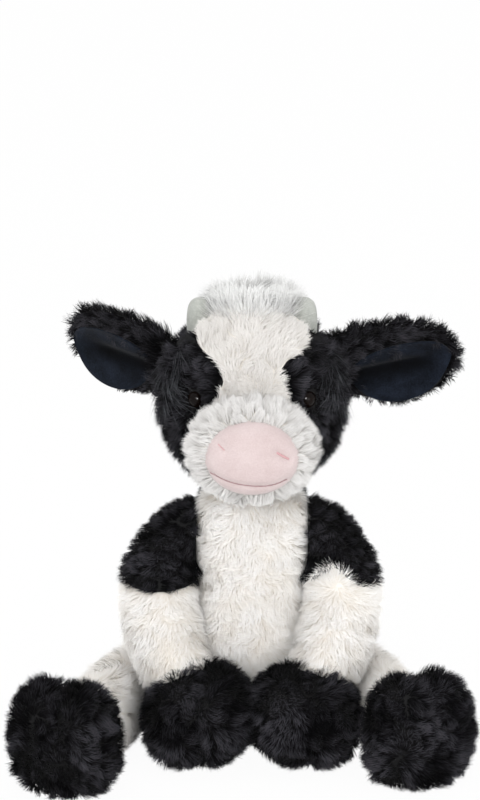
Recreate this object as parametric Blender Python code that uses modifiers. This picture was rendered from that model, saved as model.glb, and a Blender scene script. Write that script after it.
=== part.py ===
"""A seated plush cow, sewn from fur fabric panels and stuffed.

The cow sits upright and faces -Y, so its own left side is at +X. The origin is
on the floor under the middle of the body. Fabric panels are thin shells over
their stuffing. The arms and hind legs turn on flat seams at the sides of the
body, the head nods on a round neck seam, and the ears fold at their roots.
"""
import math

import bmesh
import bpy
from mathutils import Matrix, Vector

MM = 0.001

# Fabric and seams
FABRIC = 1.5 * MM
SEAM_GAP = 0.3 * MM
STUFFING_INSET = FABRIC + SEAM_GAP
FLOOR_CUT = 0.5 * MM
CUT_OVERRUN = 10.0 * MM
CAGE_SIDES = 10
HOOF_SIDES = 12
SLIM_SIDES = 8
CORD_SIDES = 6
CAGE_LEVELS = 1

# Body
BODY_HEIGHT = 136.0 * MM
BODY_HALF_WIDTH = 37.6 * MM
BODY_HALF_DEPTH = 41.0 * MM
BODY_SHIFT = 6.0 * MM
BASE_SEAM_HEIGHT = 4.0 * MM
SADDLE_SEAM_SHARE = 0.64
SADDLE_SEAM_HEIGHT = BODY_HEIGHT * SADDLE_SEAM_SHARE
SIDE_SEAM_Y = 2.0 * MM
# height share, width share, depth share, shift share, squareness
BODY_STATION_SHARES = (
    (0.000, 0.56, 0.56, 1.00, 2.2),
    (0.010, 0.82, 0.80, 1.00, 2.4),
    (0.075, 0.97, 0.95, 1.00, 2.6),
    (0.200, 1.00, 1.01, 1.00, 2.6),
    (0.345, 0.99, 1.00, 1.00, 2.6),
    (0.465, 0.92, 0.93, 1.00, 2.6),
    (0.560, 0.83, 0.85, 0.90, 2.8),
    (0.650, 0.765, 0.78, 0.72, 3.0),
    (0.840, 0.765, 0.67, 0.40, 3.0),
    (0.935, 0.74, 0.59, 0.20, 2.8),
    (1.000, 0.58, 0.50, 0.10, 2.4),
)
BODY_CROWN = 6.0 * MM
POUCH_HALF_WIDTH = 25.0 * MM
POUCH_HALF_DEPTH = 22.0 * MM
POUCH_HEIGHT = 12.0 * MM
# height share, size share
POUCH_STATION_SHARES = ((0.00, 0.66), (0.22, 0.93), (0.62, 1.00), (0.90, 0.66))

# Neck
NECK_SINK = 6.0 * MM
NECK_Y = 1.0 * MM
NECK_PIVOT = Vector((0.0, NECK_Y, BODY_HEIGHT - NECK_SINK))
NECK_BALL_RADIUS = 20.0 * MM
NECK_ARC_STEPS = 6
NECK_TURN_STEPS = 24
NECK_CLEARANCE = 0.45 * MM

# Head
HEAD_LIFT = 3.0 * MM
HEAD_BOTTOM = BODY_HEIGHT + HEAD_LIFT
HEAD_HEIGHT = 101.0 * MM
HEAD_HALF_WIDTH = 45.5 * MM
HEAD_HALF_DEPTH = 44.0 * MM
HEAD_Y = -4.0 * MM
# height share, width share, depth share
HEAD_STATION_SHARES = (
    (0.03, 0.36, 0.38),
    (0.10, 0.64, 0.66),
    (0.22, 0.89, 0.88),
    (0.37, 1.01, 1.01),
    (0.52, 1.01, 1.02),
    (0.67, 0.93, 0.97),
    (0.80, 0.79, 0.84),
    (0.91, 0.57, 0.62),
    (0.98, 0.28, 0.30),
)
# across share of the head's half width, height share of the head
BLAZE_OUTLINE_SHARES = (
    (0.40, 0.50),
    (0.35, 0.62),
    (0.30, 0.70),
    (0.40, 0.755),
    (0.60, 0.80),
    (0.63, 0.86),
    (0.58, 0.93),
    (0.56, 1.06),
)
BLAZE_BACK = 10.0 * MM
BLAZE_BACK_Y = HEAD_Y + BLAZE_BACK
BLAZE_FRONT_Y = HEAD_Y - HEAD_HALF_DEPTH * 1.5

# Muzzle and nose
MUZZLE_RISE_SHARE = 0.3317
MUZZLE_Z = HEAD_BOTTOM + HEAD_HEIGHT * MUZZLE_RISE_SHARE
MUZZLE_HALF_WIDTH = 32.8 * MM
MUZZLE_HALF_HEIGHT = 24.0 * MM
MUZZLE_BACK_SHARE = 0.5
MUZZLE_BACK_Y = HEAD_Y - HEAD_HALF_DEPTH * MUZZLE_BACK_SHARE
MUZZLE_LENGTH = 57.0 * MM
# length share, size share
MUZZLE_STATION_SHARES = (
    (0.02, 0.66),
    (0.20, 0.93),
    (0.45, 1.03),
    (0.68, 1.00),
    (0.86, 0.80),
    (0.96, 0.48),
)
NOSE_LIFT = 0.5 * MM
NOSE_Z = MUZZLE_Z + NOSE_LIFT
NOSE_WIDTH_SHARE = 0.738
NOSE_HALF_WIDTH = MUZZLE_HALF_WIDTH * NOSE_WIDTH_SHARE
NOSE_HEIGHT_SHARE = 0.804
NOSE_HALF_HEIGHT = MUZZLE_HALF_HEIGHT * NOSE_HEIGHT_SHARE
NOSE_LENGTH = 22.0 * MM
NOSE_PROUD = 3.0 * MM
NOSE_BACK_Y = MUZZLE_BACK_Y - MUZZLE_LENGTH - NOSE_PROUD + NOSE_LENGTH
# length share, size share
NOSE_STATION_SHARES = ((0.04, 0.70), (0.28, 1.00), (0.58, 1.02), (0.84, 0.80), (0.96, 0.46))

# Eyes
EYE_ACROSS_SHARE = 0.648
EYE_X = HEAD_HALF_WIDTH * EYE_ACROSS_SHARE
EYE_RISE_SHARE = 0.5545
EYE_Z = HEAD_BOTTOM + HEAD_HEIGHT * EYE_RISE_SHARE
EYE_SEAT_GAP = 0.15 * MM
EYE_RADIUS = 4.6 * MM
EYE_DOME = 3.6 * MM
EYE_SHANK_RADIUS = 1.5 * MM
EYE_SHANK_LENGTH = 8.0 * MM
EYE_STEPS = 12
EYE_ARC_STEPS = 4
EYE_CLEARANCE = 0.4 * MM
WASHER_RADIUS = 6.0 * MM
WASHER_THICKNESS = 1.2 * MM
WASHER_DEPTH = 3.3 * MM
WASHER_POCKET_DEPTH = 5.2 * MM

# Horns and forelock
HORN_ACROSS_SHARE = 0.598
HORN_X = HEAD_HALF_WIDTH * HORN_ACROSS_SHARE
HORN_BASE_SHARE = 0.693
HORN_BASE_Z = HEAD_BOTTOM + HEAD_HEIGHT * HORN_BASE_SHARE
HORN_HEIGHT = 34.0 * MM
HORN_RADIUS = 7.4 * MM
HORN_LEAN_DEG = 7.0
HORN_STEPS = 14
# height share, radius share, from the tip down
HORN_PROFILE_SHARES = (
    (1.00, 0.00),
    (0.985, 0.34),
    (0.93, 0.66),
    (0.82, 0.88),
    (0.62, 1.00),
    (0.30, 1.06),
    (0.00, 1.06),
)
FORELOCK_BASE_SHARE = 0.861
FORELOCK_BASE_Z = HEAD_BOTTOM + HEAD_HEIGHT * FORELOCK_BASE_SHARE
FORELOCK_HEIGHT = 27.0 * MM
FORELOCK_HALF_WIDTH = 18.0 * MM
FORELOCK_HALF_DEPTH = 15.0 * MM
FORELOCK_Y = 3.0 * MM
# height share, size share
FORELOCK_STATION_SHARES = ((0.05, 0.90), (0.35, 1.00), (0.65, 1.00), (0.88, 0.72), (0.97, 0.40))

# Long hair that hangs from each ear's seam down the side of the head
EAR_HAIR_TOP_SHARE = 0.8812
EAR_HAIR_TOP_Z = HEAD_BOTTOM + HEAD_HEIGHT * EAR_HAIR_TOP_SHARE
EAR_HAIR_LENGTH_SHARE = 0.455
EAR_HAIR_LENGTH = HEAD_HEIGHT * EAR_HAIR_LENGTH_SHARE
EAR_HAIR_HALF_WIDTH = 8.0 * MM
EAR_HAIR_HALF_THICKNESS = 4.2 * MM
EAR_HAIR_TURN_DEG = 27.0
# shares: of the head's half width outwards, of its half depth forward, of the length down, width, thickness
EAR_HAIR_STATION_SHARES = (
    (0.615, 0.250, 0.000, 0.66, 0.90),
    (0.780, 0.295, 0.217, 1.00, 1.00),
    (0.890, 0.352, 0.457, 1.00, 1.00),
    (0.945, 0.420, 0.674, 0.84, 0.86),
    (0.956, 0.489, 0.870, 0.52, 0.60),
)

# Ears
EAR_LENGTH = 66.0 * MM
EAR_HALF_CHORD = 23.0 * MM
EAR_HALF_THICKNESS = 5.6 * MM
EAR_CUP = 6.0 * MM
EAR_ROOT_RADIUS = 5.8 * MM
EAR_ROOT_CLEARANCE = 0.4 * MM
EAR_ROOT_HALF_CHORD = 15.5 * MM
EAR_ROOT_SINK = 2.4 * MM
EAR_PIVOT_Y = 2.0 * MM
EAR_RISE_SHARE = 0.6436
EAR_PIVOT_Z = HEAD_BOTTOM + HEAD_HEIGHT * EAR_RISE_SHARE
EAR_SLIT_STEPS = 16
# share of the root's radius that its first rings lie inward
EAR_ROOT_RING_SHARES = (0.85, 0.50)
LEFT_EAR_RISE_DEG = 5.0
RIGHT_EAR_RISE_DEG = 9.0
LEFT_EAR_SWEEP_DEG = 4.0
RIGHT_EAR_SWEEP_DEG = 36.0
EAR_ROLL_DEG = 18.0
# length share, chord share, thickness share, cup share
EAR_STATION_SHARES = (
    (0.02, 0.76, 0.98, 0.00),
    (0.18, 0.88, 1.00, 0.25),
    (0.40, 1.03, 1.00, 0.80),
    (0.62, 1.02, 0.92, 1.00),
    (0.80, 0.80, 0.78, 0.85),
    (0.93, 0.44, 0.52, 0.45),
)
# length share, chord share, cup share
LINING_STATION_SHARES = (
    (0.20, 0.50, 0.20),
    (0.40, 0.78, 0.55),
    (0.62, 0.79, 0.62),
    (0.80, 0.58, 0.46),
)
LINING_START_SHARE = 0.12
LINING_END_SHARE = 0.89
LINING_HALF_THICKNESS = 1.4 * MM
LINING_PROUD = 0.5 * MM

# Arms, each hung from a flat shoulder seam
ARM_SEAT_SHARE = 0.806
ARM_SEAT_X = BODY_HALF_WIDTH * ARM_SEAT_SHARE
ARM_PIVOT_SHARE = 0.8015
ARM_PIVOT_Z = BODY_HEIGHT * ARM_PIVOT_SHARE
LEFT_ARM_OUT = 18.5 * MM
RIGHT_ARM_OUT = 20.5 * MM
ARM_REACH = 48.0 * MM
ARM_HALF_WIDTH = 18.9 * MM
ARM_SEAM_HEIGHT = SADDLE_SEAM_HEIGHT
# out share, forward share, drop share, width share, depth share
ARM_STATION_SHARES = (
    (0.00, 0.00, 0.00, 1.00, 1.00),
    (0.62, 0.05, 0.12, 0.92, 1.04),
    (0.98, 0.24, 0.35, 1.00, 1.06),
    (1.00, 0.51, 0.59, 1.01, 1.02),
    (0.76, 0.76, 0.79, 0.93, 0.93),
    (0.45, 1.00, 0.98, 0.85, 0.85),
    (0.22, 1.13, 1.08, 0.78, 0.78),
)
FORE_HOOF_HALF_WIDTH = 25.6 * MM
FORE_HOOF_HALF_HEIGHT = 24.5 * MM
FORE_HOOF_HALF_LENGTH = 24.0 * MM
FORE_HOOF_SPACING = 1.0 * MM
FORE_HOOF_X = FORE_HOOF_HALF_WIDTH + FORE_HOOF_SPACING
FORE_HOOF_AHEAD = 15.0 * MM
FORE_HOOF_Y = -ARM_REACH - FORE_HOOF_AHEAD
# height of the wrist above the floor, as a share of the hoof's height
WRIST_SHARE = 0.89
ARM_DROP = ARM_PIVOT_Z - FORE_HOOF_HALF_HEIGHT * 2.0 * WRIST_SHARE
FORE_HOOF_TURN_DEG = 6.0
# How far below its middle a smoothed hoof reaches, as a share of the half height of its cage
FORE_HOOF_REACH_SHARE = 0.953
HIND_HOOF_REACH_SHARE = 0.972

# Hind legs, each hung from a flat hip seam
LEG_SEAT_GAP = 0.7 * MM
LEG_SEAT_X = BODY_HALF_WIDTH + LEG_SEAT_GAP
LEG_PIVOT_Y = 4.0 * MM
LEG_ROOT_RADIUS = 23.0 * MM
LEG_LIFT = 1.0 * MM
LEG_PIVOT_Z = LEG_ROOT_RADIUS + LEG_LIFT
LEFT_LEG_REACH = 90.0 * MM
RIGHT_LEG_REACH = 101.0 * MM
LEFT_LEG_SPREAD = 49.0 * MM
RIGHT_LEG_SPREAD = 59.0 * MM
# spread share, forward share, width share, height share
LEG_STATION_SHARES = (
    (0.00, 0.00, 1.00, 1.00),
    (0.39, 0.06, 0.83, 0.93),
    (0.63, 0.25, 0.75, 0.86),
    (0.72, 0.50, 0.74, 0.86),
    (0.86, 0.74, 0.74, 0.83),
    (1.00, 1.00, 0.74, 0.82),
)
HIND_HOOF_HALF_WIDTH = 26.0 * MM
HIND_HOOF_HALF_THICKNESS = 18.5 * MM
HIND_HOOF_HEIGHT = 57.0 * MM

# Hoof form: half length shares of its rings, and the cleft between the toes
HOOF_RING_SHARES = (-0.90, -0.60, -0.10, 0.40, 0.74, 0.93)
HOOF_ROUNDNESS = 2.5
CLEFT_DEPTH_SHARE = 0.34
CLEFT_WIDTH_SHARE = 0.36
CLEFT_START_SHARE = -0.1
TOE_LOBE_SHARE = 0.10
TOE_NOTCH_SHARE = 0.22

# Tail
TAIL_PIVOT_SHARE = 0.4118
TAIL_PIVOT_Z = BODY_HEIGHT * TAIL_PIVOT_SHARE
TAIL_RADIUS = 4.0 * MM
# distance of the tail's pivot from the back, as a share of its radius
TAIL_SEAT_SHARE = 0.90
TAIL_DROP = 30.0 * MM
TAIL_TRAIL = 10.0 * MM
# trail share, drop share, radius share
TAIL_STATION_SHARES = (
    (0.00, -0.02, 0.90),
    (0.08, 0.15, 1.00),
    (0.60, 0.50, 1.00),
    (0.92, 0.88, 1.00),
    (1.00, 1.05, 0.80),
)
TUFT_OVERLAP = 4.0 * MM
TUFT_LENGTH = 29.0 * MM
TUFT_RADIUS = 8.0 * MM
# length share, radius share
TUFT_STATION_SHARES = ((0.06, 0.55), (0.30, 0.98), (0.60, 1.04), (0.85, 0.72))

COLLECTION_NAME = "plush_cow"
CUTTER_COLLECTION_NAME = "plush_cow_cutters"

X_AXIS = Vector((1.0, 0.0, 0.0))
Y_AXIS = Vector((0.0, 1.0, 0.0))
Z_AXIS = Vector((0.0, 0.0, 1.0))
SIDES = (("left", 1), ("right", -1))


def clear_scene():
    """Remove every object, so that a second run starts the same way."""
    for item in list(bpy.data.objects):
        bpy.data.objects.remove(item, do_unlink=True)


def make_collection(name):
    group = bpy.data.collections.get(name) or bpy.data.collections.new(name)
    if name not in bpy.context.scene.collection.children:
        bpy.context.scene.collection.children.link(group)
    return group


def linear(hex_colour):
    """Turn an sRGB hex colour into linear RGBA."""
    parts = [int(hex_colour[i:i + 2], 16) / 255 for i in (1, 3, 5)]
    return [c / 12.92 if c <= 0.04045 else ((c + 0.055) / 1.055) ** 2.4 for c in parts] + [1.0]


def make_material(name, hex_colour, roughness):
    made = bpy.data.materials.get(name) or bpy.data.materials.new(name)
    made.use_nodes = True
    made.diffuse_color = linear(hex_colour)
    shader = made.node_tree.nodes["Principled BSDF"]
    shader.inputs["Base Color"].default_value = linear(hex_colour)
    shader.inputs["Roughness"].default_value = roughness
    shader.inputs["Metallic"].default_value = 0.0
    return made


def add_object(name, mesh, material, group):
    item = bpy.data.objects.new(name, mesh)
    if material:
        mesh.materials.append(material)
    group.objects.link(item)
    return item


def ring(centre, across, upward, half_across, half_up, sides, squareness=2.0):
    """Points of one closed section, grown so that its smoothed form has the stated size."""
    growth = 3.0 / (2.0 + math.cos(2.0 * math.pi / sides))
    points = []
    for index in range(sides):
        angle = 2.0 * math.pi * index / sides
        c, s = math.cos(angle), math.sin(angle)
        a = math.copysign(abs(c) ** (2.0 / squareness), c)
        b = math.copysign(abs(s) ** (2.0 / squareness), s)
        points.append(centre + across * (a * half_across * growth) + upward * (b * half_up * growth))
    return points


def loft_mesh(name, rings, start, end):
    """Join the rings in order and close both ends at a point."""
    bm = bmesh.new()
    loops = [[bm.verts.new(p) for p in points] for points in rings]
    first, last = bm.verts.new(start), bm.verts.new(end)
    sides = len(loops[0])
    for index in range(sides):
        other = (index + 1) % sides
        for low, high in zip(loops, loops[1:]):
            bm.faces.new((low[index], low[other], high[other], high[index]))
        bm.faces.new((first, loops[0][other], loops[0][index]))
        bm.faces.new((last, loops[-1][index], loops[-1][other]))
    bmesh.ops.recalc_face_normals(bm, faces=bm.faces)
    mesh = bpy.data.meshes.new(name)
    bm.to_mesh(mesh)
    bm.free()
    mesh.shade_smooth()
    return mesh


def smooth(item):
    """Round a coarse cage with a subdivision surface."""
    modifier = item.modifiers.new("Round", "SUBSURF")
    modifier.levels = CAGE_LEVELS
    modifier.render_levels = CAGE_LEVELS
    return item


def soft_form(name, cage, material, group):
    return smooth(add_object(name, cage.copy(), material, group))


def grow(item, distance):
    """Move the surface outwards, or inwards where the distance is negative."""
    modifier = item.modifiers.new("Grow", "DISPLACE")
    modifier.strength = distance
    modifier.mid_level = 0.0
    return item


def shell(item):
    """Turn a closed form into fabric of an even thickness, inside its outline."""
    modifier = item.modifiers.new("Fabric", "SOLIDIFY")
    modifier.thickness = FABRIC
    modifier.offset = -1.0
    return item


def boolean(item, cutter, operation="DIFFERENCE"):
    modifier = item.modifiers.new(operation.title(), "BOOLEAN")
    modifier.operation = operation
    modifier.object = cutter
    modifier.solver = "EXACT"
    return item


def hide(item):
    item.hide_render = True
    item.display_type = "WIRE"
    return item


def box(name, low, high, group):
    """A cutter between two opposite corners."""
    low, high = Vector(low), Vector(high)
    bm = bmesh.new()
    bmesh.ops.create_cube(bm, size=1.0)
    bmesh.ops.scale(bm, vec=high - low, verts=bm.verts)
    bmesh.ops.translate(bm, vec=(low + high) / 2.0, verts=bm.verts)
    mesh = bpy.data.meshes.new(name)
    bm.to_mesh(mesh)
    bm.free()
    return hide(add_object(name, mesh, None, group))


def rod(name, start, end, radius, steps, group):
    """A round cutter between two points."""
    axis = end - start
    bm = bmesh.new()
    bmesh.ops.create_cone(bm, cap_ends=True, segments=steps, radius1=radius, radius2=radius,
                          depth=axis.length)
    mesh = bpy.data.meshes.new(name)
    bm.to_mesh(mesh)
    bm.free()
    item = hide(add_object(name, mesh, None, group))
    turn = axis.to_track_quat("Z", "Y").to_matrix().to_4x4()
    item.matrix_world = Matrix.Translation((start + end) / 2.0) @ turn
    return item


def turned(name, profile, steps, material, group, closed=False):
    """Turn a profile, given from the top down as radius and height, round Z."""
    mesh = bpy.data.meshes.new(name)
    points = [(radius, 0.0, height) for radius, height in profile]
    edges = [(i, i + 1) for i in range(len(points) - 1)]
    if closed:
        edges.append((len(points) - 1, 0))
    mesh.from_pydata(points, edges, [])
    item = add_object(name, mesh, material, group)
    modifier = item.modifiers.new("Turn", "SCREW")
    modifier.axis = "Z"
    modifier.steps = steps
    modifier.render_steps = steps
    modifier.use_merge_vertices = True
    modifier.merge_threshold = FABRIC / 100.0
    modifier.use_smooth_shade = True
    return item


def path_rings(centres, halves, keep_axis, first_tangent, sides):
    """Rings across a bent path. The keep axis stays in every ring's plane as nearly as it can."""
    rings = []
    for index, (centre, (half_keep, half_other)) in enumerate(zip(centres, halves)):
        before, after = centres[max(index - 1, 0)], centres[min(index + 1, len(centres) - 1)]
        tangent = first_tangent if index == 0 and first_tangent else (after - before).normalized()
        keep = (keep_axis - tangent * keep_axis.dot(tangent)).normalized()
        other = tangent.cross(keep)
        rings.append(ring(centre, keep, other, half_keep, half_other, sides))
    return rings


def body_cage():
    rings = []
    for height, width, depth, shift, squareness in BODY_STATION_SHARES:
        centre = Vector((0.0, BODY_SHIFT * shift, (BODY_HEIGHT + FLOOR_CUT) * height - FLOOR_CUT))
        rings.append(ring(centre, X_AXIS, Y_AXIS, BODY_HALF_WIDTH * width, BODY_HALF_DEPTH * depth,
                          CAGE_SIDES, squareness))
    bottom = Vector((0.0, BODY_SHIFT, -FLOOR_CUT))
    return loft_mesh("body_cage", rings, bottom, Vector((0.0, 0.0, BODY_HEIGHT + BODY_CROWN)))


def build_body(parts, cutters, fabric):
    """Four panels round the stuffing, with a pouch of beans low in the seat."""
    cage = body_cage()
    wide = BODY_HALF_WIDTH + CUT_OVERRUN
    deep = BODY_HALF_DEPTH + BODY_SHIFT + CUT_OVERRUN
    half_gap = SEAM_GAP / 2.0
    front = SIDE_SEAM_Y - half_gap
    back = SIDE_SEAM_Y + half_gap
    low = BASE_SEAM_HEIGHT + half_gap
    saddle = SADDLE_SEAM_HEIGHT
    regions = (
        ("base_panel", "white_plush", (-wide, -deep, 0.0), (wide, deep, BASE_SEAM_HEIGHT - half_gap)),
        ("chest_belly_panel", "white_plush", (-wide, -deep, low), (wide, front, BODY_HEIGHT)),
        ("back_saddle_panel", "black_plush", (-wide, back, saddle + half_gap), (wide, deep, BODY_HEIGHT)),
        ("rump_panel", "white_plush", (-wide, back, low), (wide, deep, saddle - half_gap)),
    )
    for name, material, corner, opposite in regions:
        panel = shell(soft_form(name, cage, fabric[material], parts))
        boolean(panel, box(name + "_outline", corner, opposite, cutters), "INTERSECT")

    pouch_bottom = STUFFING_INSET - FLOOR_CUT
    pouch = pouch_cage("bean_pouch", pouch_bottom)
    soft_form("bean_pouch", pouch, fabric["lining_cotton"], parts)
    pocket = pouch_cage("bean_pocket", pouch_bottom)
    pocket_cutter = hide(grow(soft_form("bean_pocket", pocket, None, cutters), SEAM_GAP))
    stuffing = grow(soft_form("body_stuffing", cage, fabric["stuffing"], parts), -STUFFING_INSET)
    boolean(stuffing, pocket_cutter)
    above = BODY_HEIGHT + BODY_CROWN + CUT_OVERRUN
    boolean(stuffing, box("body_top_cut", (-wide, -deep, BODY_HEIGHT), (wide, deep, above), cutters))
    return hide(grow(soft_form("body_clearance", cage, None, cutters), SEAM_GAP))


def pouch_cage(name, bottom):
    rings = []
    for height, size in POUCH_STATION_SHARES:
        centre = Vector((0.0, BODY_SHIFT, bottom + POUCH_HEIGHT * height))
        rings.append(ring(centre, X_AXIS, Y_AXIS, POUCH_HALF_WIDTH * size, POUCH_HALF_DEPTH * size,
                          SLIM_SIDES))
    low = Vector((0.0, BODY_SHIFT, bottom))
    return loft_mesh(name, rings, low, Vector((0.0, BODY_SHIFT, bottom + POUCH_HEIGHT)))


def build_neck(parts, fabric):
    """A short stuffed neck: a round cap that stands on the open top of the body."""
    bottom = BODY_HEIGHT + SEAM_GAP - NECK_PIVOT.z
    edge = math.acos(bottom / NECK_BALL_RADIUS)
    profile = []
    for index in range(NECK_ARC_STEPS + 1):
        angle = edge * index / NECK_ARC_STEPS
        profile.append((NECK_BALL_RADIUS * math.sin(angle), NECK_BALL_RADIUS * math.cos(angle)))
    profile.append((0.0, bottom))
    neck = turned("neck", profile, NECK_TURN_STEPS, fabric["white_plush"], parts)
    neck.location = NECK_PIVOT


def head_cage():
    rings = []
    for height, width, depth in HEAD_STATION_SHARES:
        centre = Vector((0.0, HEAD_Y, HEAD_BOTTOM + HEAD_HEIGHT * height))
        rings.append(ring(centre, X_AXIS, Y_AXIS, HEAD_HALF_WIDTH * width, HEAD_HALF_DEPTH * depth,
                          CAGE_SIDES))
    low = Vector((0.0, HEAD_Y, HEAD_BOTTOM))
    return loft_mesh("head_cage", rings, low, Vector((0.0, HEAD_Y, HEAD_BOTTOM + HEAD_HEIGHT)))


def blaze_cutter(name, gap, group):
    """The outline of the white stripe, run through the front of the head."""
    right = [(HEAD_HALF_WIDTH * x + gap, HEAD_BOTTOM + HEAD_HEIGHT * z) for x, z in BLAZE_OUTLINE_SHARES]
    right[0] = (right[0][0], right[0][1] - gap)
    outline = right + [(-x, z) for x, z in reversed(right)]
    bm = bmesh.new()
    front = [bm.verts.new((x, BLAZE_FRONT_Y, z)) for x, z in outline]
    face = bm.faces.new(front)
    depth = BLAZE_BACK_Y + gap - BLAZE_FRONT_Y
    moved = bmesh.ops.extrude_face_region(bm, geom=[face])
    back = [v for v in moved["geom"] if isinstance(v, bmesh.types.BMVert)]
    bmesh.ops.translate(bm, vec=(0.0, depth, 0.0), verts=back)
    bmesh.ops.recalc_face_normals(bm, faces=bm.faces)
    mesh = bpy.data.meshes.new(name)
    bm.to_mesh(mesh)
    bm.free()
    return hide(add_object(name, mesh, None, group))


def surface(item, start, direction):
    """Where a straight line meets a form, and the form's outward direction there."""
    bpy.context.view_layer.update()
    evaluated = item.evaluated_get(bpy.context.evaluated_depsgraph_get())
    _, point, normal, _ = evaluated.ray_cast(start, direction)
    return point, normal


def eye_frame(side, head_gap):
    """A matrix on the face at the eye, with its Z axis pointing out."""
    start = Vector((side * EYE_X, -HEAD_HALF_DEPTH * 2.0, EYE_Z))
    seat, facing = surface(head_gap, start, Y_AXIS)
    turn = facing.to_track_quat("Z", "Y").to_matrix().to_4x4()
    return Matrix.Translation(seat + facing * EYE_SEAT_GAP) @ turn


def build_head(parts, cutters, fabric):
    """Two side panels and a white stripe over the stuffing."""
    cage = head_cage()
    head_gap = hide(grow(soft_form("head_clearance", cage, None, cutters), SEAM_GAP))
    stripe = shell(soft_form("face_blaze", cage, fabric["white_plush"], parts))
    boolean(stripe, blaze_cutter("blaze_outline", 0.0, cutters), "INTERSECT")
    stripe_gap = blaze_cutter("blaze_clearance", SEAM_GAP, cutters)
    inner_form = hide(grow(soft_form("head_inner", cage, None, cutters), -FABRIC))

    bm = bmesh.new()
    bmesh.ops.create_uvsphere(bm, u_segments=NECK_TURN_STEPS, v_segments=NECK_TURN_STEPS // 2,
                              radius=NECK_BALL_RADIUS + NECK_CLEARANCE)
    ball_mesh = bpy.data.meshes.new("neck_opening")
    bm.to_mesh(ball_mesh)
    bm.free()
    ball = hide(add_object("neck_opening", ball_mesh, None, cutters))
    ball.location = NECK_PIVOT

    stuffing = grow(soft_form("head_stuffing", cage, fabric["stuffing"], parts), -STUFFING_INSET)
    boolean(stuffing, ball)
    wide = HEAD_HALF_WIDTH + CUT_OVERRUN
    deep = HEAD_HALF_DEPTH + CUT_OVERRUN
    low, high = HEAD_BOTTOM - CUT_OVERRUN, HEAD_BOTTOM + HEAD_HEIGHT + CUT_OVERRUN
    for word, side in SIDES:
        inner = side * SEAM_GAP / 2.0
        xs = sorted((inner, side * wide))
        half = box("head_half_" + word, (xs[0], -deep, low), (xs[1], deep, high), cutters)
        panel = soft_form("head_side_" + word, cage, fabric["black_plush"], parts)
        boolean(panel, half, "INTERSECT")
        boolean(panel, inner_form)
        boolean(panel, stripe_gap)
        boolean(panel, ball)
        build_eye(word, eye_frame(side, head_gap), panel, stuffing, parts, cutters, fabric)
        slit = ear_slit(word, ear_frame(side, head_gap), cutters)
        boolean(panel, slit)
        boolean(stuffing, slit)
    return head_gap


def build_eye(word, frame, panel, stuffing, parts, cutters, fabric):
    """A domed bead with a shank through the fabric, held by a washer inside."""
    profile = []
    for index in range(EYE_ARC_STEPS + 1):
        angle = math.pi / 2.0 * index / EYE_ARC_STEPS
        profile.append((EYE_RADIUS * math.sin(angle), EYE_DOME * math.cos(angle)))
    profile += [(EYE_SHANK_RADIUS, 0.0), (EYE_SHANK_RADIUS, -EYE_SHANK_LENGTH), (0.0, -EYE_SHANK_LENGTH)]
    eye = turned("eye_" + word, profile, EYE_STEPS, fabric["eye_gloss"], parts)
    eye.matrix_world = frame
    washer_top = -WASHER_DEPTH
    washer_low = washer_top - WASHER_THICKNESS
    bore = EYE_SHANK_RADIUS + SEAM_GAP
    washer = turned("eye_washer_" + word,
                    [(bore, washer_top), (WASHER_RADIUS, washer_top), (WASHER_RADIUS, washer_low),
                     (bore, washer_low)],
                    EYE_STEPS, fabric["clear_plastic"], parts, closed=True)
    washer.matrix_world = frame
    hole = rod("eye_hole_" + word, frame @ Vector((0.0, 0.0, EYE_SHANK_LENGTH)),
               frame @ Vector((0.0, 0.0, -EYE_SHANK_LENGTH - EYE_CLEARANCE)),
               EYE_SHANK_RADIUS + EYE_CLEARANCE, EYE_STEPS, cutters)
    boolean(panel, hole)
    boolean(stuffing, hole)
    pocket = rod("washer_pocket_" + word, frame @ Vector((0.0, 0.0, EYE_SHANK_LENGTH)),
                 frame @ Vector((0.0, 0.0, -WASHER_POCKET_DEPTH)),
                 WASHER_RADIUS + EYE_CLEARANCE, EYE_STEPS, cutters)
    boolean(stuffing, pocket)


def build_muzzle(head_gap, parts, cutters, fabric):
    """The white muzzle sewn to the face, and the smooth nose set in its front."""
    muzzle_rings = []
    for length, size in MUZZLE_STATION_SHARES:
        centre = Vector((0.0, MUZZLE_BACK_Y - MUZZLE_LENGTH * length, MUZZLE_Z))
        muzzle_rings.append(ring(centre, X_AXIS, Z_AXIS, MUZZLE_HALF_WIDTH * size, MUZZLE_HALF_HEIGHT * size,
                                 CAGE_SIDES))
    muzzle_mesh = loft_mesh("muzzle_cage", muzzle_rings, Vector((0.0, MUZZLE_BACK_Y, MUZZLE_Z)),
                            Vector((0.0, MUZZLE_BACK_Y - MUZZLE_LENGTH, MUZZLE_Z)))
    nose_rings = []
    for length, size in NOSE_STATION_SHARES:
        centre = Vector((0.0, NOSE_BACK_Y - NOSE_LENGTH * length, NOSE_Z))
        nose_rings.append(ring(centre, X_AXIS, Z_AXIS, NOSE_HALF_WIDTH * size, NOSE_HALF_HEIGHT * size,
                               CAGE_SIDES))
    nose_mesh = loft_mesh("nose_cage", nose_rings, Vector((0.0, NOSE_BACK_Y, NOSE_Z)),
                          Vector((0.0, NOSE_BACK_Y - NOSE_LENGTH, NOSE_Z)))
    muzzle = soft_form("muzzle", muzzle_mesh, fabric["white_plush"], parts)
    boolean(muzzle, head_gap)
    boolean(muzzle, hide(grow(soft_form("nose_clearance", nose_mesh, None, cutters), SEAM_GAP)))
    soft_form("nose_patch", nose_mesh, fabric["pink_velour"], parts)


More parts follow.
